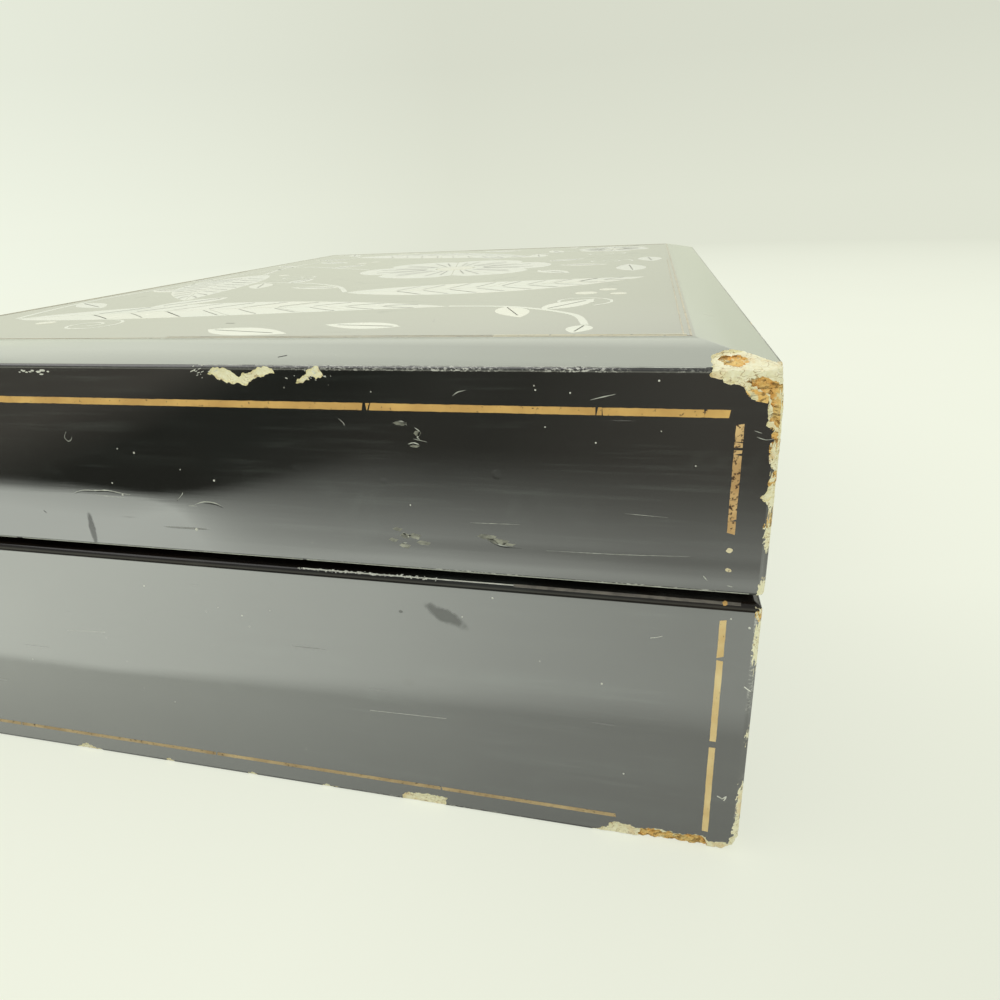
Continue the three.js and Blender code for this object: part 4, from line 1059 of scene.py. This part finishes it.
# Heights of the shell plates under the lid's top, their tilt and their bevel
PLATE_FOOT, SPRIG_FOOT, PLATE_SHOULDER, PLATE_FACE, PLATE_TILT, PLATE_BEVEL = 0.7, 0.2, 0.045, 0.030, 0.010, 0.07
# piece, middle as shares of the panel's half sizes, heading, length, width and bow
LEAVES = [
    ("shell_leaf_long", (-0.73, 0.22), 276, 1.12, 0.96, 1),
    ("shell_leaf_broad", (-0.33, -0.43), 287, 0.88, 1, -0.75),
    ("shell_leaf_curled", (0.64, 0.16), 248, 1.04, 1.07, 1.25),
    ("shell_leaf_rear", (-0.21, 0.65), 193, 0.84, 0.9, -0.75),
]
# piece, middle, turn and radius
BLOSSOMS = [("shell_blossom_large", (0.14, -0.11), 12, 37), ("shell_blossom_small", (0.79, -0.72), 40, 17)]


def shrunk(outline, by):
    """The outline moved inwards by a distance"""
    area = sum(a[0] * b[1] - b[0] * a[1] for a, b in zip(outline, outline[1:] + outline[:1]))
    sign = 1 if area > 0 else -1
    points = []
    for before, p, after in zip(outline[-1:] + outline, outline, outline[1:] + outline[:1]):
        to, onwards = (Vector((b[0] - a[0], b[1] - a[1])) for a, b in ((before, p), (p, after)))
        if to.length < 1e-6 or onwards.length < 1e-6:
            continue
        n0, n1 = (Vector((-d.y, d.x)).normalized() * sign for d in (to, onwards))
        middle = n0 + n1
        middle = middle / max(middle.dot(n0), 0.35) if middle.length > 1e-6 else n0
        points.append((p[0] + middle.x * by, p[1] + middle.y * by))
    return points


def plates(name, outlines, seed, node=True):
    """Thin shell plates let into the panel, each very slightly tilted. Each outline has its tone."""
    dice = random.Random(seed)
    points, faces, tones = [], [], []
    for outline, tone in outlines:
        top = shrunk(outline, PLATE_BEVEL)
        if len(top) != len(outline):
            continue
        n, o = len(outline), len(points)
        cx, cy = sum(x for x, _ in outline) / n, sum(y for _, y in outline) / n
        tilt = PLATE_TILT / max(max(dist(p, (cx, cy)) for p in outline), 1)
        tx, ty = dice.uniform(-tilt, tilt), dice.uniform(-tilt, tilt)
        for under in (PLATE_FOOT if node else SPRIG_FOOT, PLATE_SHOULDER):
            points += [(x, y, LID_TOP - under) for x, y in outline]
        points += [(x, y, LID_TOP - PLATE_FACE + tx * (x - cx) + ty * (y - cy)) for x, y in top]
        faces += [tuple(range(o, o + n)), tuple(range(o + 2 * n, o + 3 * n))]
        faces += walls(n, o, o + n) + walls(n, o + n, o + 2 * n)
        tones += [tone] * (3 * n)
    obj = piece(name + "_plates", points, faces, [PEARL], "lid")
    obj.data.attributes.new("tone", "FLOAT", "POINT").data.foreach_set("value", tones)
    if node:
        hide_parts(name)


def leaf_point(leaf, share, side):
    """A point of a leaf, at a share of its length. side is 0 on the middle rib, and 1 or -1 on the rims."""
    _, (ax, ay), heading, size, wide, bow = leaf
    share = min(max(share, 0.0), 1.0)
    swell = sin(pi * share**0.8) ** 0.85 if 0 < share < 1 else 0.0
    along = (share - 0.5) * (size * LEAF_LENGTH)
    across = bow * LEAF_BOW * (1 - (2 * share - 1) ** 2) + side * wide * LEAF_WIDTH * swell / 2
    return turned(ax * panel_x, ay * panel_y, along, across, radians(heading))


def leaf_plates(leaf, dice):
    """The leaf cut along its middle rib and its side veins"""
    steps, vein, near = 7, (0.25, 0.5, 0.75), 0.35
    outlines = []
    for side in (-1, 1):
        cuts = [c + dice.uniform(-0.02, 0.02) + (0.03 if side > 0 else 0) for c in (0.17, 0.31, 0.45, 0.59, 0.73)]
        cuts = [0.0] + cuts + [1.0]
        for a, b in zip(cuts, cuts[1:]):
            lean_a, lean_b = (0.10 if a > 0 else 0.0), (0.10 if b < 1 else 0.0)
            rim_a, rim_b = a + lean_a, b + lean_b
            outline = [leaf_point(leaf, a + (b - a) * k / steps, 0.0) for k in range(steps + 1)]
            if b < 1:
                outline += [leaf_point(leaf, b + lean_b * t, side * t) for t in vein]
            for k in range(steps + 1):
                outline.append(leaf_point(leaf, rim_b + (rim_a - b - lean_b) * k / steps, side * 0.985))
            if a > 0:
                outline += [leaf_point(leaf, a + lean_a * t, side * t) for t in reversed(vein)]
            clean = []
            for p in outline:
                if not clean or dist(p, clean[-1]) > near:
                    clean.append(p)
            if dist(clean[0], clean[-1]) < near:
                clean.pop()
            outlines.append((shrunk(clean, PLATE_GAP), dice.uniform(0.0, 0.78)))
    return outlines


def blossom_plates(blossom, dice):
    """The blossom cut into petals, each in two halves, round a small centre"""
    _, (ax, ay), turn, radius = blossom
    mx, my = ax * panel_x, ay * panel_y
    heart, half = radius * 0.2, PETAL_STEPS // 2
    outlines = []
    for petal in range(PETALS):
        outer, inner = [], []
        for k in range(PETAL_STEPS + 1):
            angle = radians(turn) + 2 * pi * (petal * PETAL_STEPS + k) / (PETALS * PETAL_STEPS)
            swell = sin(pi * (k % PETAL_STEPS / PETAL_STEPS)) ** 0.5
            r = radius * (1 - PETAL_DEPTH * (1 - swell)) * 0.985
            outer.append((mx + r * cos(angle), my + r * sin(angle)))
            inner.insert(0, (mx + heart * cos(angle), my + heart * sin(angle)))
        tone = dice.uniform(0.1, 0.75)
        rest = PETAL_STEPS - half
        outlines.append((shrunk(outer[: half + 1] + inner[rest:], PLATE_GAP), tone))
        outlines.append((shrunk(outer[half:] + inner[: rest + 1], PLATE_GAP), tone * 0.8))
    outlines.append((circle(mx, my, heart - 0.5, 18), 1.0))
    return outlines


def coil(x, y, radius, turns, start, hand=1):
    """A tendril that winds in to its end"""
    count = round(14 * turns)
    points = []
    for k in range(count + 1):
        angle, reach = start + hand * 2 * pi * turns * k / count, radius * (1 - 0.82 * k / count)
        points.append((x + reach * cos(angle), y + reach * sin(angle)))
    return points


def leaflet(x, y, heading, length, width):
    """A small plain leaf from its foot, as an outline"""
    outline = []
    for side, counts in ((1, range(8)), (-1, range(8, 0, -1))):
        for share in (k / 8 for k in counts):
            across = side * width / 2 * sin(pi * share**0.85) ** 0.9 if 0 < share < 1 else 0.0
            outline.append(turned(x, y, length * share, across, radians(heading)))
    return outline


dice = random.Random(8)
for index, row in enumerate(LEAVES):
    plates(row[0], leaf_plates(row, dice), index)
for index, row in enumerate(BLOSSOMS):
    plates(row[0], blossom_plates(row, dice), 20 + index)

# Stems as x, y, x, y..., tendrils as for coil, leaflets as for leaflet and berries as x, y, radius
STEMS = [
    (126, 84, 115, 72, 103, 62.5, 84, 66, 62, 73, 38, 73, 14, 67.5),
    (38, 73, 14, 80, -18, 79, -58, 83, -84, 80, -100.5, 76), (50, 73.5, 43, 56, 31, 40, 24, 27),
    (-18, 79, -22, 40, -36, 16, -55.5, 4), (55, -14, 74, -24, 88, -38, 97, -49),
    (-89, -36, -92, -52, -104, -66, -118, -70),
]
TENDRILS = [
    (-4, 45, 9, 1.6, 2.4), (72, -62, 11, 1.7, 1.0, -1), (-112, 44, 8, 1.5, 0.3, -1), (112, 20, 9, 1.6, 2.0),
    (-84, -66, 8, 1.5, 3.6), (32, -66, 9, 1.6, 4.4),
]
LEAFLETS = groups(
    5,
    112, 69, 20, 17, 7, 92, 65, 110, 16, 7, 73, 70, 245, 19, 8, 52, 74, 60, 12, 6, 36, 48, 330, 18, 7.5,
    -2, 80, 120, 9, 5, -38, 81, 255, 18, 7.5, -70, 82, 235, 20, 8, -22, 48, 200, 19, 8, -24, 38, 350, 15, 6.5,
    -42, 12, 80, 18, 7, 66, -20, 50, 18, 8, 82, -32, 190, 19, 8, 90, -41, 20, 17, 7, -91, -50, 200, 18, 7.5,
    -97, -59, 330, 20, 8, -118, -70, 170, 9, 5, 20, -49, 262, 18, 8, 0, -44, 225, 17, 8, 40, -42, 300, 16, 7,
    -62, 38, 150, 24, 10, -120, 8, 255, 22, 9, 112, -20, 75, 22, 9, -10, -76, 5, 26, 10, 48, -80, 185, 22, 9,
    -118, -34, 80, 18, 8,
)
BERRIES = groups(
    3,
    118, 44, 2.6, 122, 38, 2.1, -68, -66, 2.8, -61, -71, 2.3, -70, -74, 2, 60, 44, 2.4, 66, 40, 2, -108, 60, 2.3,
    8, 56, 2, -78, 6, 2.2, 122, -44, 2.4,
)
sprigs = [(shrunk(leaflet(*row), SMALL_GAP), dice.uniform(0.05, 0.78)) for row in LEAFLETS]
sprigs += [(circle(*row, 16), 0.9) for row in BERRIES]
plates("shell_sprigs", sprigs, 40, node=False)
strokes("shell_stems", [("top", curve(groups(2, *stem)), 1.5) for stem in STEMS], PEARL, "lid", STEM_HIGH)
strokes("shell_tendrils", [("top", coil(*row), 0.75) for row in TENDRILS], PEARL, "lid", TENDRIL_HIGH)

# lines engraved in the petals and the leaves, and filled with black
engraved = []
for name, (ax, ay), turn, radius in BLOSSOMS:
    mx, my = ax * panel_x, ay * panel_y
    for petal in range(PETALS):
        for off, reach in ((-0.30, 0.72), (-0.15, 0.84), (0.15, 0.84), (0.30, 0.72)):
            angle = radians(turn) + 2 * pi * (petal + 0.5 + off) / PETALS
            bend = angle + 0.05 * (1 if off > 0 else -1)
            inner, outer = 0.30 * radius, reach * radius * 0.95
            ends = [(mx + r * cos(a), my + r * sin(a)) for r, a in ((inner, angle), (outer, bend))]
            engraved.append(("top", ends, 0.22 if radius > 20 else 0.14))
for leaf in LEAVES:
    for k in range(9):
        for side in (-1, 1):
            line = [leaf_point(leaf, 0.16 + 0.085 * k + 0.10 * t, side * t) for t in (0.12, 0.4, 0.68, 0.86)]
            engraved.append(("top", line, 0.16))
for x, y, heading, length, _ in LEAFLETS:
    rib = [turned(x, y, share * length, 0, radians(heading)) for share in (0.1, 0.82)]
    engraved.append(("top", rib, 0.2))
strokes("shell_engraving", engraved, ENGRAVING, "lid", ENGRAVING_HIGH)


# ---------------------------------------------------------------- finishes on the CAD pieces
def dress(node, material, round_by):
    """Its material and rounded edges for a CAD piece that stays as it is"""
    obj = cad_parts[node]
    obj.data.materials.clear()
    obj.data.materials.append(material)
    edge = obj.modifiers.new("edge", "BEVEL")
    edge.width = round_by * MM
    edge.segments = 2
    edge.limit_method = "ANGLE"
    edge.harden_normals = True


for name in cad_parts:
    if name.startswith(("hinge_", "screw_")):
        dress(name, BRASS, 0.06)
dress("mirror", GLASS, 0.8)
dress("base_bottom", BARE_WOOD, 0.2)


# ---------------------------------------------------------------- velvet, felt and ribbon
def box_mm(node):
    """A CAD node's low and high corners in millimetres"""
    return tuple(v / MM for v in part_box(node))


def swelling(*place):
    return 0.5 + 0.5 * wave(*place)


def stops(low, high, radius, spacing):
    """Places along one side of a soft box: close together at the round edges, even between them"""
    inner = high - low - 2 * radius
    count = max(1, round(inner / spacing))
    middle = [low + radius + inner * k / count for k in range(count + 1)]
    return [low, low + 0.3 * radius, low + 0.65 * radius] + middle + [high - 0.65 * radius, high - 0.3 * radius, high]


def soft_box(node, body, material, radius, spacing, sag, seed, crown=0.0, suffix="_velvet"):
    """A covered board or pad in the place of a box-shaped CAD node: round edges and a slightly uneven cover"""
    low, high = box_mm(node)
    grids = [stops(low[i], high[i], radius, spacing) for i in range(3)]
    index, points, faces = {}, [], []

    def vertex(place):
        key = tuple(round(v, 4) for v in place)
        if key in index:
            return index[key]
        core = [min(max(place[i], low[i] + radius), high[i] - radius) for i in range(3)]
        off = Vector([place[i] - core[i] for i in range(3)])
        if off.length > 1e-9:
            off = off.normalized() * radius
        at = Vector(core) + off
        broad, fine = at * 0.045 + Vector((seed, 0, 0)), at * 0.21 + Vector((0, seed, 0))
        uneven = 0.7 * swelling(*broad) + 0.3 * swelling(*fine)
        away = off.normalized()
        at -= away * sag * uneven
        if crown and away.z > 0.5:
            shares = [abs(at[i] - (low[i] + high[i]) / 2) / ((high[i] - low[i]) / 2) for i in (0, 1)]
            at.z -= crown * max(share**8 for share in shares)
        index[key] = len(points)
        points.append(tuple(at))
        return index[key]

    for fixed in range(3):
        a, b = [i for i in range(3) if i != fixed]
        for level_place in (low[fixed], high[fixed]):
            for i in range(len(grids[a]) - 1):
                for k in range(len(grids[b]) - 1):
                    corners = []
                    for u, v in ((i, k), (i + 1, k), (i + 1, k + 1), (i, k + 1)):
                        place = [0, 0, 0]
                        place[fixed], place[a], place[b] = level_place, grids[a][u], grids[b][v]
                        corners.append(vertex(place))
                    faces.append(tuple(corners))
    obj = piece(node + suffix, points, faces, [material], body, smooth=60)
    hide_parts(node)
    return obj


BOARDS = {
    "base": ["liner_front", "liner_rear", "liner_left", "liner_right", "ledge_left", "ledge_right"],
    "tray": [
        "tray_floor", "tray_front", "tray_rear", "tray_left", "tray_right",
        "divider_ring_side", "divider_ring_front", "divider_long", "divider_short",
    ],
}
for body, names in BOARDS.items():
    for index, name in enumerate(names):
        soft_box(name, body, VELVET, 0.8, 6.0, 0.12, 3.0 * index + len(name))
pad = soft_box("floor_pad", "base", VELVET, 0.95, 5.0, 0.35, 4.0, crown=0.6)
soft_box("base_felt", "base", FELT, 0.3, 8.0, 0.1, 5.0, suffix="_cloth")


def loft(node, suffix, rings, material, body, smooth):
    """A closed piece in a CAD node's place, through rings of points, with both ends closed by a fan"""
    count = len(rings[0])
    points = [p for r in rings for p in r]
    faces = [f for i in range(len(rings) - 1) for f in walls(count, i * count, (i + 1) * count)]
    for first in (0, (len(rings) - 1) * count):
        points.append(tuple(sum(points[first + k][i] for k in range(count)) / count for i in range(3)))
        faces += [(first + k, first + (k + 1) % count, len(points) - 1) for k in range(count)]
    obj = piece(node + suffix, points, faces, [material], body, smooth=smooth)
    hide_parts(node)
    return obj


def ring_roll(node, seed):
    """A velvet roll for rings: a stuffed tube with drawn-in ends, flat where it rests"""
    low, high = box_mm(node)
    middle_x, middle_z, radius = (low.x + high.x) / 2, (low.z + high.z) / 2, (high.x - low.x) / 2
    length, sides = high.y - low.y, 40
    ends = [(0.7, 0.30), (0.25, 0.55), (0.0, 0.74), (0.25, 0.87), (0.8, 0.95), (1.7, 0.99), (3.0, 1.0)]
    middle = [(3.0 + (length - 6.0) * k / 26, 1.0) for k in range(1, 26)]
    rings = []
    for along, share in ends + middle + [(length - a, r) for a, r in reversed(ends)]:
        y = low.y + along
        row = []
        for angle in (2 * pi * k / sides for k in range(sides)):
            drawn = 0.035 * cos(14 * angle) if share < 0.9 else 0.0
            dent = 0.22 * swelling(cos(angle) * 1.3 + seed, y * 0.06, sin(angle) * 1.3)
            r = radius * (share + drawn) - dent * min(1, share)
            row.append((middle_x + r * cos(angle), y, max(middle_z + r * sin(angle), low.z + 0.04)))
        rings.append(row)
    loft(node, "_velvet", rings, VELVET, "tray", 60)


def moulding(node, seed):
    """A padded velvet strip round the mirror, mitred at its ends"""
    low, high = box_mm(node)
    run, cross = (0, 1) if high.x - low.x > high.y - low.y else (1, 0)
    side = 1 if low[cross] + high[cross] > 0 else -1
    outer = max(abs(low[cross]), abs(high[cross]))
    width, top, thick = high[cross] - low[cross], high.z, high.z - low.z
    inset, gap, steps = 0.03, 0.02, 40
    section = [(inset, top)]
    for k in range(15):
        angle = pi * k / 14
        drop = thick * max(sin(angle) ** 0.42 if 0 < k < 14 else 0.2, 0.2)
        section.append((width / 2 - (width / 2 - inset) * cos(angle), top - drop))
    section.append((width - inset, top))
    rings = []
    for share in (2 * i / steps - 1 for i in range(steps + 1)):
        row = []
        for across, z in section:
            puff = 0.16 * swelling(share * 9 + seed, across * 0.2, seed)
            place = [0, 0, z + (puff if z < top - 1.5 else 0.0)]
            place[run], place[cross] = share * (high[run] - across - gap), side * (outer - across)
            row.append(tuple(place))
        rings.append(row)
    loft(node, "_velvet", rings, VELVET, "lid", 50)


def felt_dot(node, seed):
    """A round felt pad with a soft edge"""
    low, high = box_mm(node)
    cx, cy, radius = (low.x + high.x) / 2, (low.y + high.y) / 2, (high.x - low.x) / 2
    rings = []
    for share, rise in ((0.96, 0.0), (1.0, 0.25), (0.99, 0.6), (0.93, 0.86), (0.8, 0.97), (0.5, 1.0)):
        row = []
        for angle in (2 * pi * k / 36 for k in range(36)):
            r = radius * share * (1 - 0.05 * swelling(cos(angle) * 4 + seed, sin(angle) * 4, rise * 3))
            row.append((cx + r * cos(angle), cy + r * sin(angle), low.z + (high.z - low.z) * rise))
        rings.append(row)
    loft(node, "_cloth", rings, FELT, "base", 60)


def pull_tab(end):
    """A loop of ribbon glued to the tray's end wall: two layers that meet in a round fold at the top"""
    node = "pull_tab_" + end
    low, high = box_mm(node)
    thin, columns, margin = 0.16, 14, 0.15
    wall, towards = (high.y, -1) if low.y + high.y > 0 else (low.y, 1)
    middle = (high.y - low.y) / 2
    spread, drop, fold = (middle - thin / 2) * 0.92, high.z - low.z - 0.55, high.z - 0.45
    line = [(middle - spread, low.z + 0.1 + drop * k / 8) for k in range(9)]
    for angle in (pi * k / 8 for k in range(1, 8)):
        line.append((middle - spread * cos(angle), fold + (0.37 - thin / 2) * sin(angle)))
    line += [(middle + spread, fold - drop * k / 8) for k in range(9)]
    half = (high.x - low.x) / 2 - margin
    rows, wide = len(line), columns + 1
    points, faces = [], []
    for layer in (-1, 1):
        for i, (out, z) in enumerate(line):
            a, b = line[max(i - 1, 0)], line[min(i + 1, rows - 1)]
            direction = Vector((b[0] - a[0], b[1] - a[1])).normalized()
            off = layer * thin / 2
            for x in (-half + 2 * half * c / columns for c in range(wide)):
                ripple = 0.02 * sin(x * 1.3 + z * 0.8)
                points.append((x, wall + towards * (out - direction.y * off + ripple), z + direction.x * off))
    shift = rows * wide
    for i in range(rows - 1):
        for a in range(i * wide, i * wide + columns):
            faces.append((a, a + 1, a + wide + 1, a + wide))
            faces.append((shift + a, shift + a + wide, shift + a + wide + 1, shift + a + 1))
    for i in range(rows - 1):
        for a in (i * wide, i * wide + columns):
            faces.append((a, a + wide, shift + a + wide, shift + a))
    for c in range(columns):
        for a in (c, (rows - 1) * wide + c):
            faces.append((a, a + 1, shift + a + 1, shift + a))
    obj = piece(node + "_ribbon", points, faces, [RIBBON], "tray", smooth=50)
    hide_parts(node)
    "tray_" + end + "_velvet"


for index in (1, 2, 3, 4):
    ring_roll("ring_roll_%d" % index, index * 2.3)
for index, name in enumerate(("front", "rear", "left", "right")):
    moulding("mirror_moulding_" + name, 5.1 * index)
for index, name in enumerate(("left", "right")):
    felt_dot("rest_pad_" + name, 3.0 * index)
for name in ("front", "rear"):
    pull_tab(name)


# ---------------------------------------------------------------- floor, light and background
PALE = (0.84, 0.865, 0.745)
FAR_RIGHT, FAR_LEFT = (0.745, 0.77, 0.65), (0.89, 0.93, 0.80)
MIRRORED = (0.955, 1.0, 0.90)
DARK = (0.0, 0.0, 0.0)
FLOOR_REACH, FLOOR_UNDER = 6000, -0.04


def shaded(colour, by):
    return tuple(by * c for c in colour)


def floor_material():
    """Pale paper. The camera and reflections see it as brightly as the background, with the box's shadow on it.
    Gloss sees a painted reflection: brightest close round the box, a painted shade right beside it and painted dark
    further off, as in a studio where only the table is lit."""
    p = Paint("floor", Roughness=0.95, Specular_IOR_Level=0.05)
    p.put("Base_Color", p.mix(p.noise(7, 3).span(0.3, 0.7), PALE, shaded(PALE, 0.97)))
    side_x, side_y = p.axis(0), p.axis(1)
    x, y = p.math("ABSOLUTE", side_x), p.math("ABSOLUTE", side_y)
    away = p.math("SQRT", x * x + y * y)
    far = away.span(0.5, 1.8)

    # what the camera sees: pale paper with a painted soft shadow round a spot off the box's front left corner, and
    # the far backdrop
    dim_x, dim_y = side_x + 0.22, side_y + 0.22
    dim = p.math("SQRT", dim_x * dim_x + dim_y * dim_y)
    close = p.mix(dim.span(0.03, 0.20), shaded(PALE, 0.93), shaded(PALE, 1.13))
    distant = p.mix(p.math("DIVIDE", side_y, away).span(0.25, 0.8), FAR_RIGHT, FAR_LEFT)
    shown = p.mix(far, close, distant)

    # what gloss sees, all painted reflection: a bright strip round the box with painted shade right beside it, its
    # far edge from first to last, and painted dark beyond
    beside = p.larger(x - HALF_X * MM, y - HALF_Y * MM)
    strip_from, strip_to = side_y.span(-0.08, 0.06, 0.014, 0.022), side_y.span(-0.08, 0.06, 0.046, 0.031)
    near = p.larger(beside.span(0.0, 0.022, 0.50, 0.60), beside.span(strip_from, strip_to, kind="SMOOTHSTEP"))
    crisp = side_y.span(0.03, 0.15, kind="SMOOTHERSTEP")
    first = p.math("MULTIPLY_ADD", crisp, 0.059, 0.085)
    last = p.math("MULTIPLY_ADD", crisp, -0.083, 0.235) + side_y.span(0.12, 0.22, 0.0, 0.012)
    run = p.math("DIVIDE", last - beside, last - first).span(0.0, 1.0)
    lean = side_y.span(-0.10, 0.0, 0.51, 0.82) + side_y.span(0.0, 0.12, 0.0, 0.18)
    lean *= 1.0 - crisp * (last - beside).span(0.008, 0.034, 0.24, 0.0)
    lit = near * lean * (run * run)
    shade = side_y.span(-0.12, 0.0, 0.073, 0.024) + side_y.span(0.05, 0.13, 0.0, -0.024)
    shade += side_y.span(0.20, 0.30, 0.0, 0.08)
    gloss = p.mix(lit, p.mix(shade, DARK, (1.0, 0.90, 0.76)), MIRRORED)
    gloss = p.mix(beside.span(0.55, 1.1), gloss, shaded(PALE, 0.8))

    seen, mirrored = p.add("LightPath", "Is Camera Ray"), p.add("LightPath", "Is Glossy Ray")
    glow = p.add("Emission", Color=p.mix(mirrored, shown, gloss), Strength=1.0)
    part = seen * p.math("ADD", 0.70, far * 0.30) + mirrored * 0.96
    both = p.add("MixShader", _0=part, _1=Value(p, p.shader.outputs[0]), _2=glow)
    p.put("Surface", both, p.tree.nodes["Material Output"])
    return p.material


mesh = bpy.data.meshes.new("floor")
corners = [(x * FLOOR_REACH, y * FLOOR_REACH, FLOOR_UNDER) for x, y in ((-1, -1), (1, -1), (1, 1), (-1, 1))]
mesh.from_pydata([Vector(corner) * MM for corner in corners], [], [(0, 1, 2, 3)])
mesh.materials.append(floor_material())
floor = bpy.data.objects.new("floor", mesh)
scene.collection.objects.link(floor)

key_data = bpy.data.lights.new("key", "AREA")
key_data.shape = "RECTANGLE"
key_data.size, key_data.size_y = 1.2, 1.2
key_data.energy = 4.5
key_data.color = (1.0, 0.99, 0.96)
key = bpy.data.objects.new("key", key_data)
key.location = (-0.15, 0.55, 1.2)
key.rotation_euler = (Vector((0, 0, 0.03)) - key.location).to_track_quat("-Z", "Y").to_euler()
scene.collection.objects.link(key)

world = bpy.data.worlds.new("world")
scene.world = world
sky = Paint("world", world, Color=(0.95, 0.97, 0.90, 1), Strength=0.8)
across, towards_rear, height = sky.axis(0), sky.axis(1), sky.axis(2)
# reflections: pale along the horizon, darker overhead, and a bright wall behind the box's right end
tone = sky.mix(height.span(0.05, 0.16), (0.74, 0.76, 0.61), (0.98, 1.0, 0.81))
tone = sky.mix(towards_rear.span(-0.7, 0.2, 0.33, 0.0), tone, DARK)
tone = sky.mix(height.span(0.16, 0.44), tone, (0.29, 0.30, 0.29))
wall = across.span(0.3, 0.6) * height.span(0.62, 0.78, 1.0, 0.0) * height.span(0.12, 0.28)
reflected = sky.add("Background", Color=sky.mix(wall, tone, (1.0, 1.0, 0.88)), Strength=1.0)
shown = sky.mix(towards_rear.span(0.25, 0.8), FAR_RIGHT, FAR_LEFT)
shown = sky.mix(height.span(0.0, 0.16, 0.0, 0.08), shown, DARK)
backdrop = sky.add("Background", Color=shown, Strength=1.0)
lit = Value(sky, sky.shader.outputs[0])
lit = sky.add("MixShader", _0=sky.add("LightPath", "Is Glossy Ray"), _1=lit, _2=reflected)
lit = sky.add("MixShader", _0=sky.add("LightPath", "Is Camera Ray"), _1=lit, _2=backdrop)
sky.put("Surface", lit, sky.tree.nodes["World Output"])

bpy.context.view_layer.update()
